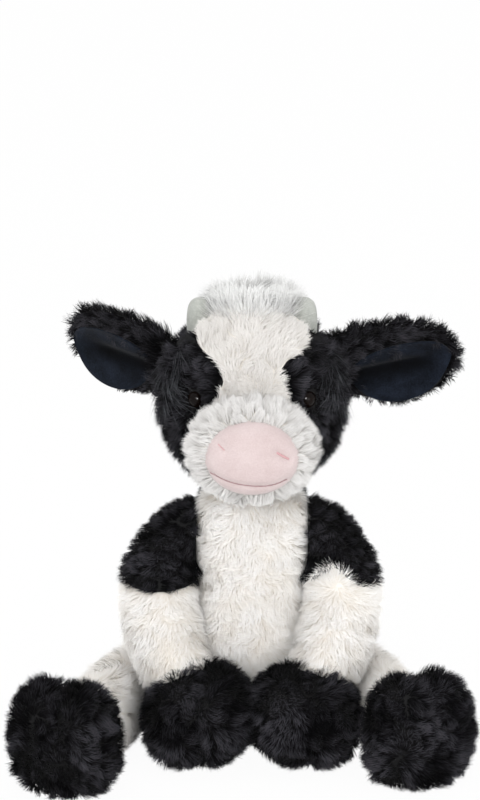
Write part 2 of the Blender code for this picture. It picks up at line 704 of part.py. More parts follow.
def build_crown(head_gap, parts, fabric):
    """Two rounded horns with the forelock between them."""
    profile = [(HORN_RADIUS * radius, HORN_HEIGHT * height) for height, radius in HORN_PROFILE_SHARES]
    profile.append((0.0, 0.0))
    for word, side in SIDES:
        horn = turned("horn_" + word, profile, HORN_STEPS, fabric["horn_velour"], parts)
        lean = Matrix.Rotation(side * math.radians(HORN_LEAN_DEG), 4, "Y")
        horn.matrix_world = Matrix.Translation((side * HORN_X, 0.0, HORN_BASE_Z)) @ lean
        boolean(horn, head_gap)
    rings = []
    for height, size in FORELOCK_STATION_SHARES:
        centre = Vector((0.0, FORELOCK_Y, FORELOCK_BASE_Z + FORELOCK_HEIGHT * height))
        rings.append(ring(centre, X_AXIS, Y_AXIS, FORELOCK_HALF_WIDTH * size,
                          FORELOCK_HALF_DEPTH * size, SLIM_SIDES))
    mesh = loft_mesh("forelock_cage", rings, Vector((0.0, FORELOCK_Y, FORELOCK_BASE_Z)),
                     Vector((0.0, FORELOCK_Y, FORELOCK_BASE_Z + FORELOCK_HEIGHT)))
    boolean(soft_form("forelock", mesh, fabric["long_hair"], parts), head_gap)


def build_ear_hair(head_gap, parts, fabric):
    """A flat lock on each side of the head, with its foot before the ear and its tip beside the muzzle."""
    turn = math.radians(EAR_HAIR_TURN_DEG)
    for word, side in SIDES:
        centres, halves = [], []
        for out, forward, drop, width, thickness in EAR_HAIR_STATION_SHARES:
            centres.append(Vector((side * HEAD_HALF_WIDTH * out, HEAD_Y - HEAD_HALF_DEPTH * forward,
                                   EAR_HAIR_TOP_Z - EAR_HAIR_LENGTH * drop)))
            halves.append((EAR_HAIR_HALF_WIDTH * width, EAR_HAIR_HALF_THICKNESS * thickness))
        flat = Vector((side * math.sin(turn), math.cos(turn), 0.0))
        rings = path_rings(centres, halves, flat, None, SLIM_SIDES)
        foot = centres[0] + (centres[0] - centres[1]).normalized() * EAR_HAIR_HALF_THICKNESS / 2.0
        tip = centres[-1] + (centres[-1] - centres[-2]).normalized() * EAR_HAIR_HALF_WIDTH / 2.0
        mesh = loft_mesh("ear_hair_cage_" + word, rings, foot, tip)
        boolean(soft_form("ear_hair_" + word, mesh, fabric["dark_hair"], parts), head_gap)


def ear_frame(side, head_gap):
    """Pivot, outward, chord and facing directions of one ear. The root is sunk into the head's side."""
    start = Vector((side * HEAD_HALF_WIDTH * 2.0, EAR_PIVOT_Y, EAR_PIVOT_Z))
    seat, _ = surface(head_gap, start, X_AXIS * -side)
    rise = math.radians(LEFT_EAR_RISE_DEG if side > 0 else RIGHT_EAR_RISE_DEG)
    sweep = math.radians(LEFT_EAR_SWEEP_DEG if side > 0 else RIGHT_EAR_SWEEP_DEG)
    roll = math.radians(EAR_ROLL_DEG)
    outward = Vector((side * math.cos(rise) * math.cos(sweep), math.sin(sweep), math.sin(rise))).normalized()
    facing = Vector((0.0, -math.cos(roll), -math.sin(roll)))
    facing = (facing - outward * facing.dot(outward)).normalized()
    chord = facing.cross(outward) * side
    pivot = seat + X_AXIS * (side * (EAR_ROOT_RADIUS - EAR_ROOT_SINK))
    return pivot, outward, chord, facing


def ear_slit(word, frame, cutters):
    """The slit in the head that takes the rounded root of the ear."""
    pivot, _, chord, _ = frame
    reach = chord * (EAR_ROOT_HALF_CHORD + EAR_ROOT_CLEARANCE + EAR_ROOT_RADIUS)
    return rod("ear_slit_" + word, pivot - reach, pivot + reach, EAR_ROOT_RADIUS + EAR_ROOT_CLEARANCE,
               EAR_SLIT_STEPS, cutters)


def cupped_ring(centre, chord, facing, half_chord, half_thickness, cup, sides):
    """A flat section whose edges curl towards the front of the ear."""
    points = ring(centre, chord, facing, half_chord, half_thickness, sides)
    curled = []
    for point in points:
        share = (point - centre).dot(chord) / half_chord
        curled.append(point + facing * (cup * share * share))
    return curled


def lining_cage(name, frame):
    pivot, outward, chord, facing = frame
    rings = []
    proud = facing * (EAR_HALF_THICKNESS + LINING_PROUD - LINING_HALF_THICKNESS)
    for length, width, cup in LINING_STATION_SHARES:
        centre = pivot + outward * (EAR_LENGTH * length) + proud
        rings.append(cupped_ring(centre, chord, facing, EAR_HALF_CHORD * width, LINING_HALF_THICKNESS,
                                 EAR_CUP * cup, SLIM_SIDES))
    start = pivot + outward * (EAR_LENGTH * LINING_START_SHARE) + proud
    return loft_mesh(name, rings, start, pivot + outward * (EAR_LENGTH * LINING_END_SHARE) + proud)


def build_ear(word, frame, parts, cutters, fabric):
    """A furry back with a rounded root, and a smooth lining sunk in its front."""
    pivot, outward, chord, facing = frame
    rings = []
    for inward_share in EAR_ROOT_RING_SHARES:
        inward = outward * (-EAR_ROOT_RADIUS * inward_share)
        thickness = EAR_ROOT_RADIUS * math.sqrt(1.0 - inward_share ** 2)
        rings.append(cupped_ring(pivot + inward, chord, facing, EAR_ROOT_HALF_CHORD, thickness, 0.0,
                                 SLIM_SIDES))
    for length, width, thick, cup in EAR_STATION_SHARES:
        rings.append(cupped_ring(pivot + outward * (EAR_LENGTH * length), chord, facing,
                                 EAR_HALF_CHORD * width, EAR_HALF_THICKNESS * thick, EAR_CUP * cup,
                                 SLIM_SIDES))
    mesh = loft_mesh("ear_cage_" + word, rings, pivot - outward * EAR_ROOT_RADIUS,
                     pivot + outward * EAR_LENGTH)
    back = soft_form("ear_back_" + word, mesh, fabric["black_plush"], parts)
    lining = lining_cage("lining_cage_" + word, frame)
    boolean(back, hide(grow(soft_form("lining_clearance_" + word, lining, None, cutters), SEAM_GAP)))
    soft_form("ear_lining_" + word, lining, fabric["navy_velour"], parts)


def hoof_cage(name, centre, across, through, toe, half_width, half_thickness, half_length):
    """A cloven hoof: rings towards the toe, drawn in between the two toes."""
    rings = []
    for share in HOOF_RING_SHARES:
        size = (1.0 - abs(share) ** HOOF_ROUNDNESS) ** (1.0 / HOOF_ROUNDNESS)
        cleft = max(share - CLEFT_START_SHARE, 0.0) / (1.0 - CLEFT_START_SHARE)
        middle = centre + toe * (half_length * share)
        points = ring(middle, across, through, half_width * size, half_thickness * size, HOOF_SIDES)
        shaped = []
        for index, point in enumerate(points):
            lateral = abs(math.cos(2.0 * math.pi * index / HOOF_SIDES))
            dent = CLEFT_DEPTH_SHARE * cleft * math.exp(-(lateral / CLEFT_WIDTH_SHARE) ** 2)
            offset = point - middle
            drawn = offset - through * (offset.dot(through) * dent)
            shaped.append(middle + drawn + toe * (half_length * TOE_LOBE_SHARE * cleft * lateral))
        rings.append(shaped)
    heel = centre - toe * half_length
    return loft_mesh(name, rings, heel, centre + toe * (half_length * (1.0 - TOE_NOTCH_SHARE)))


def build_arm(word, side, body_gap, floor, parts, cutters, fabric):
    """A black upper arm and a white foreleg on one form, and a cloven hoof."""
    arm_out = LEFT_ARM_OUT if side > 0 else RIGHT_ARM_OUT
    centres, halves = [], []
    for out, forward, drop, width, depth in ARM_STATION_SHARES:
        centres.append(Vector((side * (ARM_SEAT_X + arm_out * out), -ARM_REACH * forward,
                               ARM_PIVOT_Z - ARM_DROP * drop)))
        halves.append((ARM_HALF_WIDTH * depth, ARM_HALF_WIDTH * width))
    root = centres[0] - X_AXIS * (side * CUT_OVERRUN)
    tangent = X_AXIS * side
    rings = path_rings([root] + centres, [halves[0]] + halves, Y_AXIS, tangent, CAGE_SIDES)
    tip = centres[-1] + (centres[-1] - centres[-2]).normalized() * ARM_HALF_WIDTH / 2.0
    mesh = loft_mesh("arm_cage_" + word, rings, root - tangent * CUT_OVERRUN / 2.0, tip)

    half_gap = SEAM_GAP / 2.0
    far_x = ARM_SEAT_X + arm_out + ARM_HALF_WIDTH + CUT_OVERRUN
    far_y = ARM_REACH + ARM_HALF_WIDTH + CUT_OVERRUN
    top_z = ARM_PIVOT_Z + ARM_HALF_WIDTH + CUT_OVERRUN
    xs = sorted((side * ARM_SEAT_X, side * far_x))
    upper_box = box("upper_arm_outline_" + word, (xs[0], -far_y, ARM_SEAM_HEIGHT + half_gap),
                    (xs[1], far_y, top_z), cutters)
    lower_box = box("foreleg_outline_" + word, (-far_x, -far_y, -CUT_OVERRUN),
                    (far_x, far_y, ARM_SEAM_HEIGHT - half_gap), cutters)
    upper = soft_form("upper_arm_" + word, mesh, fabric["black_plush"], parts)
    boolean(upper, upper_box, "INTERSECT")
    lower = soft_form("foreleg_" + word, mesh, fabric["white_plush"], parts)
    boolean(lower, lower_box, "INTERSECT")
    boolean(lower, body_gap)

    turn = math.radians(FORE_HOOF_TURN_DEG)
    toe = Vector((side * math.sin(turn), -math.cos(turn), 0.0))
    across = toe.cross(Z_AXIS)
    rise = FORE_HOOF_HALF_HEIGHT * FORE_HOOF_REACH_SHARE - FLOOR_CUT
    centre = Vector((side * FORE_HOOF_X, FORE_HOOF_Y, rise))
    hoof_mesh = hoof_cage("fore_hoof_cage_" + word, centre, across, Z_AXIS, toe, FORE_HOOF_HALF_WIDTH,
                          FORE_HOOF_HALF_HEIGHT, FORE_HOOF_HALF_LENGTH)
    boolean(lower, hide(grow(soft_form("fore_hoof_clearance_" + word, hoof_mesh, None, cutters), SEAM_GAP)))
    hoof = soft_form("fore_hoof_" + word, hoof_mesh, fabric["black_plush"], parts)
    boolean(hoof, floor)


def floor_cutter(cutters):
    """The flat floor that the lowest forms are cut to."""
    reach = LEG_SEAT_X + RIGHT_LEG_SPREAD + RIGHT_LEG_REACH + CUT_OVERRUN
    return box("floor_cut", (-reach, -reach, -CUT_OVERRUN), (reach, reach, 0.0), cutters)


def build_leg(word, side, floor, parts, cutters, fabric):
    """A white hind leg that lies forward, and a hoof that stands on its heel."""
    spread = LEFT_LEG_SPREAD if side > 0 else RIGHT_LEG_SPREAD
    reach = LEFT_LEG_REACH if side > 0 else RIGHT_LEG_REACH
    centres, halves = [], []
    for out, forward, width, height in LEG_STATION_SHARES:
        rise = LEG_ROOT_RADIUS * height + LEG_LIFT
        centres.append(Vector((side * (LEG_SEAT_X + spread * out), LEG_PIVOT_Y - reach * forward, rise)))
        halves.append((LEG_ROOT_RADIUS * height, LEG_ROOT_RADIUS * width))
    root = centres[0] - X_AXIS * (side * CUT_OVERRUN)
    tangent = X_AXIS * side
    rings = path_rings([root] + centres, [halves[0]] + halves, Z_AXIS, tangent, CAGE_SIDES)
    ahead = (centres[-1] - centres[-2]).normalized()
    mesh = loft_mesh("leg_cage_" + word, rings, root - tangent * CUT_OVERRUN / 2.0,
                     centres[-1] + ahead * HIND_HOOF_HALF_THICKNESS / 2.0)
    far_x = LEG_SEAT_X + spread + LEG_ROOT_RADIUS + CUT_OVERRUN
    far_y = reach + LEG_ROOT_RADIUS + CUT_OVERRUN
    xs = sorted((side * LEG_SEAT_X, side * far_x))
    outline = box("hind_leg_outline_" + word, (xs[0], -far_y, -CUT_OVERRUN),
                  (xs[1], far_y, HIND_HOOF_HEIGHT + CUT_OVERRUN), cutters)
    leg = soft_form("hind_leg_" + word, mesh, fabric["white_plush"], parts)
    boolean(leg, outline, "INTERSECT")

    flat = Vector((ahead.x, ahead.y, 0.0)).normalized()
    half_height = HIND_HOOF_HEIGHT / 2.0
    centre = Vector((centres[-1].x, centres[-1].y, half_height * HIND_HOOF_REACH_SHARE - FLOOR_CUT))
    hoof_mesh = hoof_cage("hind_hoof_cage_" + word, centre, flat.cross(Z_AXIS), flat, Z_AXIS,
                          HIND_HOOF_HALF_WIDTH, HIND_HOOF_HALF_THICKNESS, half_height)
    boolean(leg, hide(grow(soft_form("hind_hoof_clearance_" + word, hoof_mesh, None, cutters), SEAM_GAP)))
    hoof = soft_form("hind_hoof_" + word, hoof_mesh, fabric["black_plush"], parts)
    boolean(hoof, floor)


def tail_pivot(body_gap):
    """The tail hangs where its rounded root touches the back of the body."""
    seat, _ = surface(body_gap, Vector((0.0, BODY_HALF_DEPTH * 2.0, TAIL_PIVOT_Z)), Y_AXIS * -1.0)
    return seat + Y_AXIS * (TAIL_RADIUS * TAIL_SEAT_SHARE)


def build_tail(pivot, parts, cutters, fabric):
    """A thin tail that hangs behind the body, with a tuft at its end."""
    centres, halves = [], []
    for trail, drop, size in TAIL_STATION_SHARES:
        centres.append(pivot + Y_AXIS * (TAIL_TRAIL * trail) - Z_AXIS * (TAIL_DROP * drop))
        halves.append((TAIL_RADIUS * size, TAIL_RADIUS * size))
    rings = path_rings(centres, halves, X_AXIS, None, CORD_SIDES)
    mesh = loft_mesh("tail_cage", rings, centres[0] + Z_AXIS * TAIL_RADIUS / 2.0,
                     centres[-1] - Z_AXIS * TAIL_RADIUS / 2.0)
    soft_form("tail", mesh, fabric["white_plush"], parts)
    tail_gap = hide(grow(soft_form("tail_clearance", mesh, None, cutters), SEAM_GAP))
    top = centres[-1] + Z_AXIS * TUFT_OVERLAP
    rings = []
    for length, size in TUFT_STATION_SHARES:
        rings.append(ring(top - Z_AXIS * (TUFT_LENGTH * length), X_AXIS, Y_AXIS, TUFT_RADIUS * size,
                          TUFT_RADIUS * size, CORD_SIDES))
    tuft_mesh = loft_mesh("tuft_cage", rings, top, top - Z_AXIS * TUFT_LENGTH)
    boolean(soft_form("tail_tuft", tuft_mesh, fabric["black_plush"], parts), tail_gap)


def make_fabrics():
    table = (
        ("white_plush", "#ebe8e2", 0.95),
        ("black_plush", "#141416", 0.85),
        ("pink_velour", "#ecdcdc", 0.9),
        ("navy_velour", "#1f252f", 0.85),
        ("horn_velour", "#c2c5bf", 0.9),
        ("long_hair", "#dcdddd", 0.7),
        ("dark_hair", "#3c3e42", 0.8),
        ("eye_gloss", "#0b0908", 0.08),
        ("clear_plastic", "#d8dadb", 0.4),
        ("stuffing", "#f4f4f1", 1.0),
        ("lining_cotton", "#d9d3c6", 0.95),
    )
    return {name: make_material(name, colour, roughness) for name, colour, roughness in table}


def joint_empty(name, place, group):
    """An empty on a joint's axis."""
    empty = bpy.data.objects.new(name, None)
    empty.location = place
    group.objects.link(empty)
    return empty


def hang(item, carrier):
    """Parent an object to what carries it, without moving it."""
    item.parent = carrier
    item.matrix_parent_inverse = Matrix.Translation(carrier.location).inverted()


def build_on(empty, build, *details):
    """Run a build step and hang all that it adds on an empty."""
    before = set(bpy.data.objects)
    made = build(*details)
    for item in bpy.data.objects:
        if item not in before:
            hang(item, empty)
    return made


def main():
    clear_scene()
    parts = make_collection(COLLECTION_NAME)
    cutters = make_collection(CUTTER_COLLECTION_NAME)
    fabric = make_fabrics()
    body_gap = build_body(parts, cutters, fabric)
    floor = floor_cutter(cutters)

    neck_turn = joint_empty("neck_turn", NECK_PIVOT, parts)
    build_on(neck_turn, build_neck, parts, fabric)
    head_nod = joint_empty("head_nod", NECK_PIVOT, parts)
    hang(head_nod, neck_turn)
    head_gap = build_on(head_nod, build_head, parts, cutters, fabric)
    build_on(head_nod, build_muzzle, head_gap, parts, cutters, fabric)
    build_on(head_nod, build_crown, head_gap, parts, fabric)
    build_on(head_nod, build_ear_hair, head_gap, parts, fabric)

    for word, side in SIDES:
        frame = ear_frame(side, head_gap)
        ear_fold = joint_empty("ear_fold_" + word, frame[0], parts)
        build_on(ear_fold, build_ear, word, frame, parts, cutters, fabric)
        hang(ear_fold, head_nod)
        arm_swing = joint_empty("arm_swing_" + word, (side * ARM_SEAT_X, 0.0, ARM_PIVOT_Z), parts)
        build_on(arm_swing, build_arm, word, side, body_gap, floor, parts, cutters, fabric)
        leg_drop = joint_empty("leg_drop_" + word, (side * LEG_SEAT_X, LEG_PIVOT_Y, LEG_PIVOT_Z), parts)
        build_on(leg_drop, build_leg, word, side, floor, parts, cutters, fabric)

    pivot = tail_pivot(body_gap)
    tail_swing = joint_empty("tail_swing", pivot, parts)
    build_on(tail_swing, build_tail, pivot, parts, cutters, fabric)


main()
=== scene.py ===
# %% [markdown]
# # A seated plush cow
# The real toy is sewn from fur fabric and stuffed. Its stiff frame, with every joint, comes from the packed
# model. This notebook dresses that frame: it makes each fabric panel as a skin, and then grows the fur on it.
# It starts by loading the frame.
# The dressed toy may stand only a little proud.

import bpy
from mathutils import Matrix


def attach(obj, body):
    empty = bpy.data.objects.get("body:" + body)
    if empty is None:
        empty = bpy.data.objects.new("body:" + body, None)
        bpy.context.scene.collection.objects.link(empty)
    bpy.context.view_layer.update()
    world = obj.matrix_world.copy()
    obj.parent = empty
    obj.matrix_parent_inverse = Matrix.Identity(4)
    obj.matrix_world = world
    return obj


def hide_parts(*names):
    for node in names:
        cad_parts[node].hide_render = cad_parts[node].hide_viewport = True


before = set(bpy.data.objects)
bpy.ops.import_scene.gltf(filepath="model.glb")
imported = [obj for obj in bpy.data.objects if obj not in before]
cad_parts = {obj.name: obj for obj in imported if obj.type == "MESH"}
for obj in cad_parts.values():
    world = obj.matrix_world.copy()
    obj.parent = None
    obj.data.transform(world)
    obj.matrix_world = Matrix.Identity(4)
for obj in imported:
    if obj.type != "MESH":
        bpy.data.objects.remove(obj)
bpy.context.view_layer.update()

# %% [markdown]
# Everything is worked out in millimetres with numpy, as whole arrays, and turned to metres when a mesh is made.
# The fur is scattered by chance, so the chance is seeded: each run then grows the same fur.

# %% Tools and units
import math

import bpy
import numpy as np
from mathutils import Vector

MM = 0.001
chance = np.random.default_rng(11)
X, Y, Z = np.eye(3)
SIDES = (("left", 1.0), ("right", -1.0))


def unit(a):
    """Each vector divided by its length."""
    return a / np.maximum(np.linalg.norm(a, axis=-1, keepdims=True), 1e-9)


def carried(rows, v):
    """A table read smoothly: a cubic B-spline over its rows, which meets both ends, as a smoothed cage does."""
    rows = np.asarray(rows, float)
    rows = np.vstack([2 * rows[0] - rows[1], rows, 2 * rows[-1] - rows[-2]])
    place = np.clip(v, 0.0, 1.0) * (len(rows) - 3)
    i = np.minimum(place.astype(int), len(rows) - 4)
    t = (place - i)[..., None]
    weights = ((1 - t) ** 3, 3 * t ** 3 - 6 * t ** 2 + 4, -3 * t ** 3 + 3 * t ** 2 + 3 * t + 1, t ** 3)
    return sum(w * rows[i + k] for k, w in enumerate(weights)) / 6.0


def columns(rows, v):
    """A table read smoothly, given as one array for each of its columns."""
    return np.moveaxis(carried(rows, v), -1, 0)


def stacked(x, y, z):
    """Points from their three coordinates, spread to one shape."""
    return np.stack(np.broadcast_arrays(x, y, z), -1)


def section(u, square=2.0):
    """A superellipse: cosine and sine to the power 2/square, with their signs kept. Square 2 is an ellipse."""
    c, s = np.cos(u), np.sin(u)
    power = 2.0 / square
    return np.sign(c) * np.abs(c) ** power, np.sign(s) * np.abs(s) ** power


print("tools ready")

# %% [markdown]
# ## From a grid of points to a mesh
# A skin is a grid of points: rows run along the piece, columns run round it. A stuffed piece is a grid of closed
# rings with both ends drawn to a point. A fabric panel is an open grid that gets a second side one fabric
# thickness below, and a rim. Blender's Solidify could do that too; here the two sides share their edges exactly.

# %% Mesh makers


def make_piece(name, points, quads, tris, material, uv=None):
    """One mesh object at the origin, from points in millimetres and faces as rows of point numbers."""
    quads, tris = np.asarray(quads, int).reshape(-1, 4), np.asarray(tris, int).reshape(-1, 3)
    mesh = bpy.data.meshes.new(name)
    mesh.vertices.add(len(points))
    mesh.vertices.foreach_set("co", (np.asarray(points) * MM).ravel())
    corners = np.concatenate([quads.ravel(), tris.ravel()])
    mesh.loops.add(len(corners))
    mesh.loops.foreach_set("vertex_index", corners)
    mesh.polygons.add(len(quads) + len(tris))
    starts = np.concatenate([4 * np.arange(len(quads)), 4 * len(quads) + 3 * np.arange(len(tris))])
    mesh.polygons.foreach_set("loop_start", starts)
    if uv is not None:
        mesh.uv_layers.new(name="OFBake").data.foreach_set("uv", uv[corners].ravel())
    mesh.update(calc_edges=True)
    mesh.shade_smooth()
    mesh.materials.append(material)
    piece = bpy.data.objects.new(name, mesh)
    bpy.context.scene.collection.objects.link(piece)
    return piece


def outward(grid):
    """Unit directions across a grid: the cross product of its two slopes, turned away from its rows' middles."""
    cross = np.cross(np.gradient(grid, axis=1), np.gradient(grid, axis=0))
    turned = np.sign((cross * (grid - grid.mean(1, keepdims=True))).sum())
    return unit(cross) * turned, turned


def stuffed_skin(name, grid, material):
    """Closed rings joined in order, with a fan to the middle of the first ring and of the last."""
    rows, around = grid.shape[:2]
    here = np.arange(rows * around).reshape(rows, around)
    there = np.roll(here, -1, 1)
    quads = np.stack([here[:-1], there[:-1], there[1:], here[1:]], -1).reshape(-1, 4)
    low, high = np.full(around, rows * around), np.full(around, rows * around + 1)
    tris = np.concatenate([np.stack([low, there[0], here[0]], -1), np.stack([high, here[-1], there[-1]], -1)])
    points = np.concatenate([grid.reshape(-1, 3), grid[0].mean(0)[None], grid[-1].mean(0)[None]])
    if outward(grid)[1] < 0:
        quads, tris = quads[:, ::-1], tris[:, ::-1]
    return make_piece(name, points, quads, tris, material)


def panel_skin(name, grid, thick, material):
    """An open grid, a second one thick below it, and a rim between their edges."""
    rows, across = grid.shape[:2]
    facing, turned = outward(grid)
    top = np.arange(rows * across).reshape(rows, across)
    low = top + rows * across
    faces = np.stack([top[:-1, :-1], top[:-1, 1:], top[1:, 1:], top[1:, :-1]], -1).reshape(-1, 4)
    edge = np.concatenate([top[0, :-1], top[:-1, -1], top[-1, :0:-1], top[:0:-1, 0]])
    after = np.roll(edge, -1)
    rim = np.stack([after, edge, edge + rows * across, after + rows * across], -1)
    quads = np.concatenate([faces, (faces + rows * across)[:, ::-1], rim])
    if turned < 0:
        quads = quads[:, ::-1]
    points = np.concatenate([grid.reshape(-1, 3), (grid - facing * thick).reshape(-1, 3)])
    return make_piece(name, points, quads, [], material)


def crossing(form, u, measure, low=0.0, high=1.0):
    """For each u, the v at which a measure of the surface first passes zero, read between close samples."""
    v = np.linspace(low, high, 500)[:, None]
    value = measure(form(u[None], v))
    first = np.maximum(np.argmax(value > 0, 0), 1)
    each = np.arange(len(u))
    a, b = value[first - 1, each], value[first, each]
    found = v[first - 1, 0] - (v[1, 0] - v[0, 0]) * a / np.where(b == a, 1.0, b - a)
    return np.where((value > 0).any(0), found, high)


def between(form, u, low, high, rows):
    """The part of a form between two limits of v, each one value or one for every u."""
    share = np.linspace(0.0, 1.0, rows)[:, None]
    return form(u[None], low + (high - low) * share)


def full_turn(count):
    """Equal steps round a ring, in radians."""
    return np.arange(count) * 2.0 * math.pi / count


def on_floor(grid, low=0.0):
    """Flatten what would pass below the floor."""
    return np.concatenate([grid[..., :2], np.maximum(grid[..., 2:], low)], -1)


print("mesh makers ready")

# %% [markdown]
# ## Materials
# Long-pile fur fabric is knitted polyester with fibres several millimetres long. The eye sees locks, each darker
# at its root, where other locks shade it, and a little lighter at its tip. So each lock carries its own place on
# a UV map: across it is the lock's own tone and up it is the way from root to tip. The colour is read from there,
# which keeps a lock's colour on the lock however it bends.

# %% Colour and node helpers


def linear(hex_colour):
    """An sRGB hex colour as the linear values that shaders use."""
    parts = np.array([int(hex_colour[i:i + 2], 16) for i in (1, 3, 5)]) / 255.0
    return (*np.where(parts <= 0.04045, parts / 12.92, ((parts + 0.055) / 1.055) ** 2.4), 1.0)


def add(tree, kind, links=(), **values):
    """Add a node; values name its settings or sockets, links pair a socket with the output that feeds it."""
    node = tree.nodes.new("ShaderNode" + kind)
    for name, value in values.items():
        socket = name.replace("_", " ")
        if hasattr(node, name):
            setattr(node, name, value)
        else:
            node.inputs[socket].default_value = value
    for socket, source in links:
        tree.links.new(source, node.inputs[socket])
    return node


def new_material(name, **finish):
    """A material whose Principled shader has its constant values set on its own sockets."""
    material = bpy.data.materials.new(name)
    material.use_nodes = True
    shader = material.node_tree.nodes["Principled BSDF"]
    for socket, value in finish.items():
        shader.inputs[socket.replace("_", " ")].default_value = value
    return material, material.node_tree, shader


def blend_colours(tree, share, low, high):
    """A Mix node between two hex colours or colour outputs, by a share. Sockets 6 and 7 are its two colours."""
    mix = add(tree, "Mix", [("Factor", share)], data_type="RGBA")
    for socket, value in ((mix.inputs[6], low), (mix.inputs[7], high)):
        if isinstance(value, str):
            socket.default_value = linear(value)
        else:
            tree.links.new(value, socket)
    return mix.outputs[2]


def combined(tree, operation, *parts):
    """A Math node between outputs or plain numbers."""
    node = add(tree, "Math", operation=operation)
    for socket, part in zip(node.inputs, parts):
        if isinstance(part, float):
            socket.default_value = part
        else:
            tree.links.new(part, socket)
    return node.outputs["Value"]


def noise(tree, grain_mm, detail=2.0, roughness=0.5):
    """Noise in the piece's own space whose grains have a real size, as a share from 0 to 1."""
    where = add(tree, "TexCoord").outputs["Object"]
    return add(tree, "TexNoise", [("Vector", where)], Scale=1.0 / MM / grain_mm, Detail=detail,
               Roughness=roughness).outputs["Fac"]


print("white as linear:", [round(float(c), 3) for c in linear("#ffffff")])

# %% Fur: polyester pile, dark at the root and light at the tip


def pile_material(name, dark_lock, light_lock, middle=0.35, **finish):
    """Two ramps from root to tip, for the darkest and the lightest lock, mixed by the lock's tone."""
    material, tree, shader = new_material(name, **{"Roughness": 0.9, "Specular_IOR_Level": 0.25, **finish})
    place = add(tree, "SeparateXYZ", [("Vector", add(tree, "UVMap", uv_map="OFBake").outputs["UV"])])
    colours = []
    for stops in (dark_lock, light_lock):
        ramp = add(tree, "ValToRGB", [("Fac", place.outputs["Y"])])
        ramp.color_ramp.elements[0].color = linear(stops[0])
        ramp.color_ramp.elements[1].color = linear(stops[2])
        ramp.color_ramp.elements.new(middle).color = linear(stops[1])
        colours.append(ramp.outputs["Color"])
    tree.links.new(blend_colours(tree, place.outputs["X"], *colours), shader.inputs["Base Color"])
    return material


SOFT_SHEEN = dict(Sheen_Weight=0.2, Sheen_Roughness=0.6)
# Undyed knitted polyester pile: warm white, and bright where its curls catch the light.
white_pile = pile_material("white_curly_plush", ("#ece4d9", "#f5f0e8", "#faf7f2"),
                           ("#f6f2eb", "#fefcf9", "#ffffff"), **SOFT_SHEEN)
# The same fibre sheared shorter for the face, and painted a shade darker than the body's: painted shade that tones
# down the face, which the lamps light more than the chest.
blaze_pile = pile_material("white_short_plush_painted_shade", ("#cfcac4", "#dedad5", "#e7e4e0"),
                           ("#dcd8d3", "#ebe8e4", "#f2f0ed"), **SOFT_SHEEN)
# Cooler white pile brushed out on end, darker than the body's; its grey roots are painted shade, deep in its open
# tufts.
muzzle_pile = pile_material("cool_white_muzzle_plush", ("#b0ada9", "#cccac7", "#dfdddb"),
                            ("#c5c2bf", "#e0dedc", "#f2f1f0"), **SOFT_SHEEN)
# Dyed black polyester pile: nearly no gloss; the grey at the tips of its lightest tufts is a painted highlight,
# standing in for the sheen of its fibres.
black_pile = pile_material("black_shaggy_plush", ("#010101", "#020203", "#040405"),
                           ("#030303", "#0f0f11", "#4e4d53"), Specular_IOR_Level=0.03, Sheen_Weight=0.03)
# Long straight acrylic hair, dyed dark grey; its lighter tips are painted highlights, which make single strands show
# against the black fur.
grey_hair = pile_material("dark_grey_long_hair", ("#08080a", "#0e0f11", "#141517"),
                          ("#141518", "#34363a", "#6e7075"), Specular_IOR_Level=0.06, Sheen_Weight=0.05)
# The same hair undyed: a pale cool grey that turns white at its rim.
pale_hair = pile_material("pale_grey_long_hair", ("#d8d9d8", "#e2e2e1", "#e8e8e7"),
                          ("#e1e1e0", "#ededec", "#f5f5f4"), Sheen_Weight=0.2, Sheen_Roughness=0.5)
print("pile materials:", 6)

# %% [markdown]
# Under the fur lies the knitted backing, and some pieces have no long fur at all: velour, a knit with a short
# dense nap that was sheared level. Its nap leans this way and that in soft patches, so its colour wanders a
# little, and it takes light at its edges, which is sheen. Real nap is 0.1 mm across; it is drawn at 0.8 mm.

# %% Short fabrics: backing, velour, lining cotton and fibre filling


def cloth_material(name, deep, pale, grain_mm, patch_mm, lift_mm, **finish):
    """Noise at the grain's real size lifts the surface; broader noise leads the colour from deep to pale."""
    material, tree, shader = new_material(name, **{"Specular_IOR_Level": 0.2, **finish})
    grain = noise(tree, grain_mm, 3.0, 0.6)
    both = combined(tree, "ADD", grain, noise(tree, patch_mm))
    share = add(tree, "MapRange", [("Value", both)], From_Min=0.7, From_Max=1.3)
    tree.links.new(blend_colours(tree, share.outputs["Result"], deep, pale), shader.inputs["Base Color"])
    bump = add(tree, "Bump", [("Height", grain)], Strength=0.8, Distance=lift_mm * MM)
    tree.links.new(bump.outputs["Normal"], shader.inputs["Normal"])
    return material


# Knitted polyester backing, white and black: matt, with small loops, it closes the gaps between the locks.
white_backing = cloth_material("white_knit_backing", "#f2ece2", "#faf6f0", 1.2, 9.0, 0.3, Roughness=0.95)
black_backing = cloth_material("black_knit_backing", "#060607", "#0e0e10", 1.2, 9.0, 0.3, Roughness=0.9)
# Sheared velour, dyed pink: a matt, even face with a pale rim.
nose_velour = cloth_material("pink_nose_velour", "#bba9a8", "#c9bab9", 0.8, 14.0, 0.18, Roughness=0.9,
                             Sheen_Weight=0.35, Sheen_Roughness=0.5)
# The same velour, dyed navy: it drinks light. Its colour is darkened further down the ear's middle fold, which is
# painted shade standing in for the shadow in the cupped ear.
ear_velour = cloth_material("navy_ear_velour", "#080c12", "#1c222d", 0.8, 9.0, 0.2, Roughness=0.9,
                            Specular_IOR_Level=0.04, Sheen_Weight=0.1, Sheen_Roughness=0.4)
tree = ear_velour.node_tree
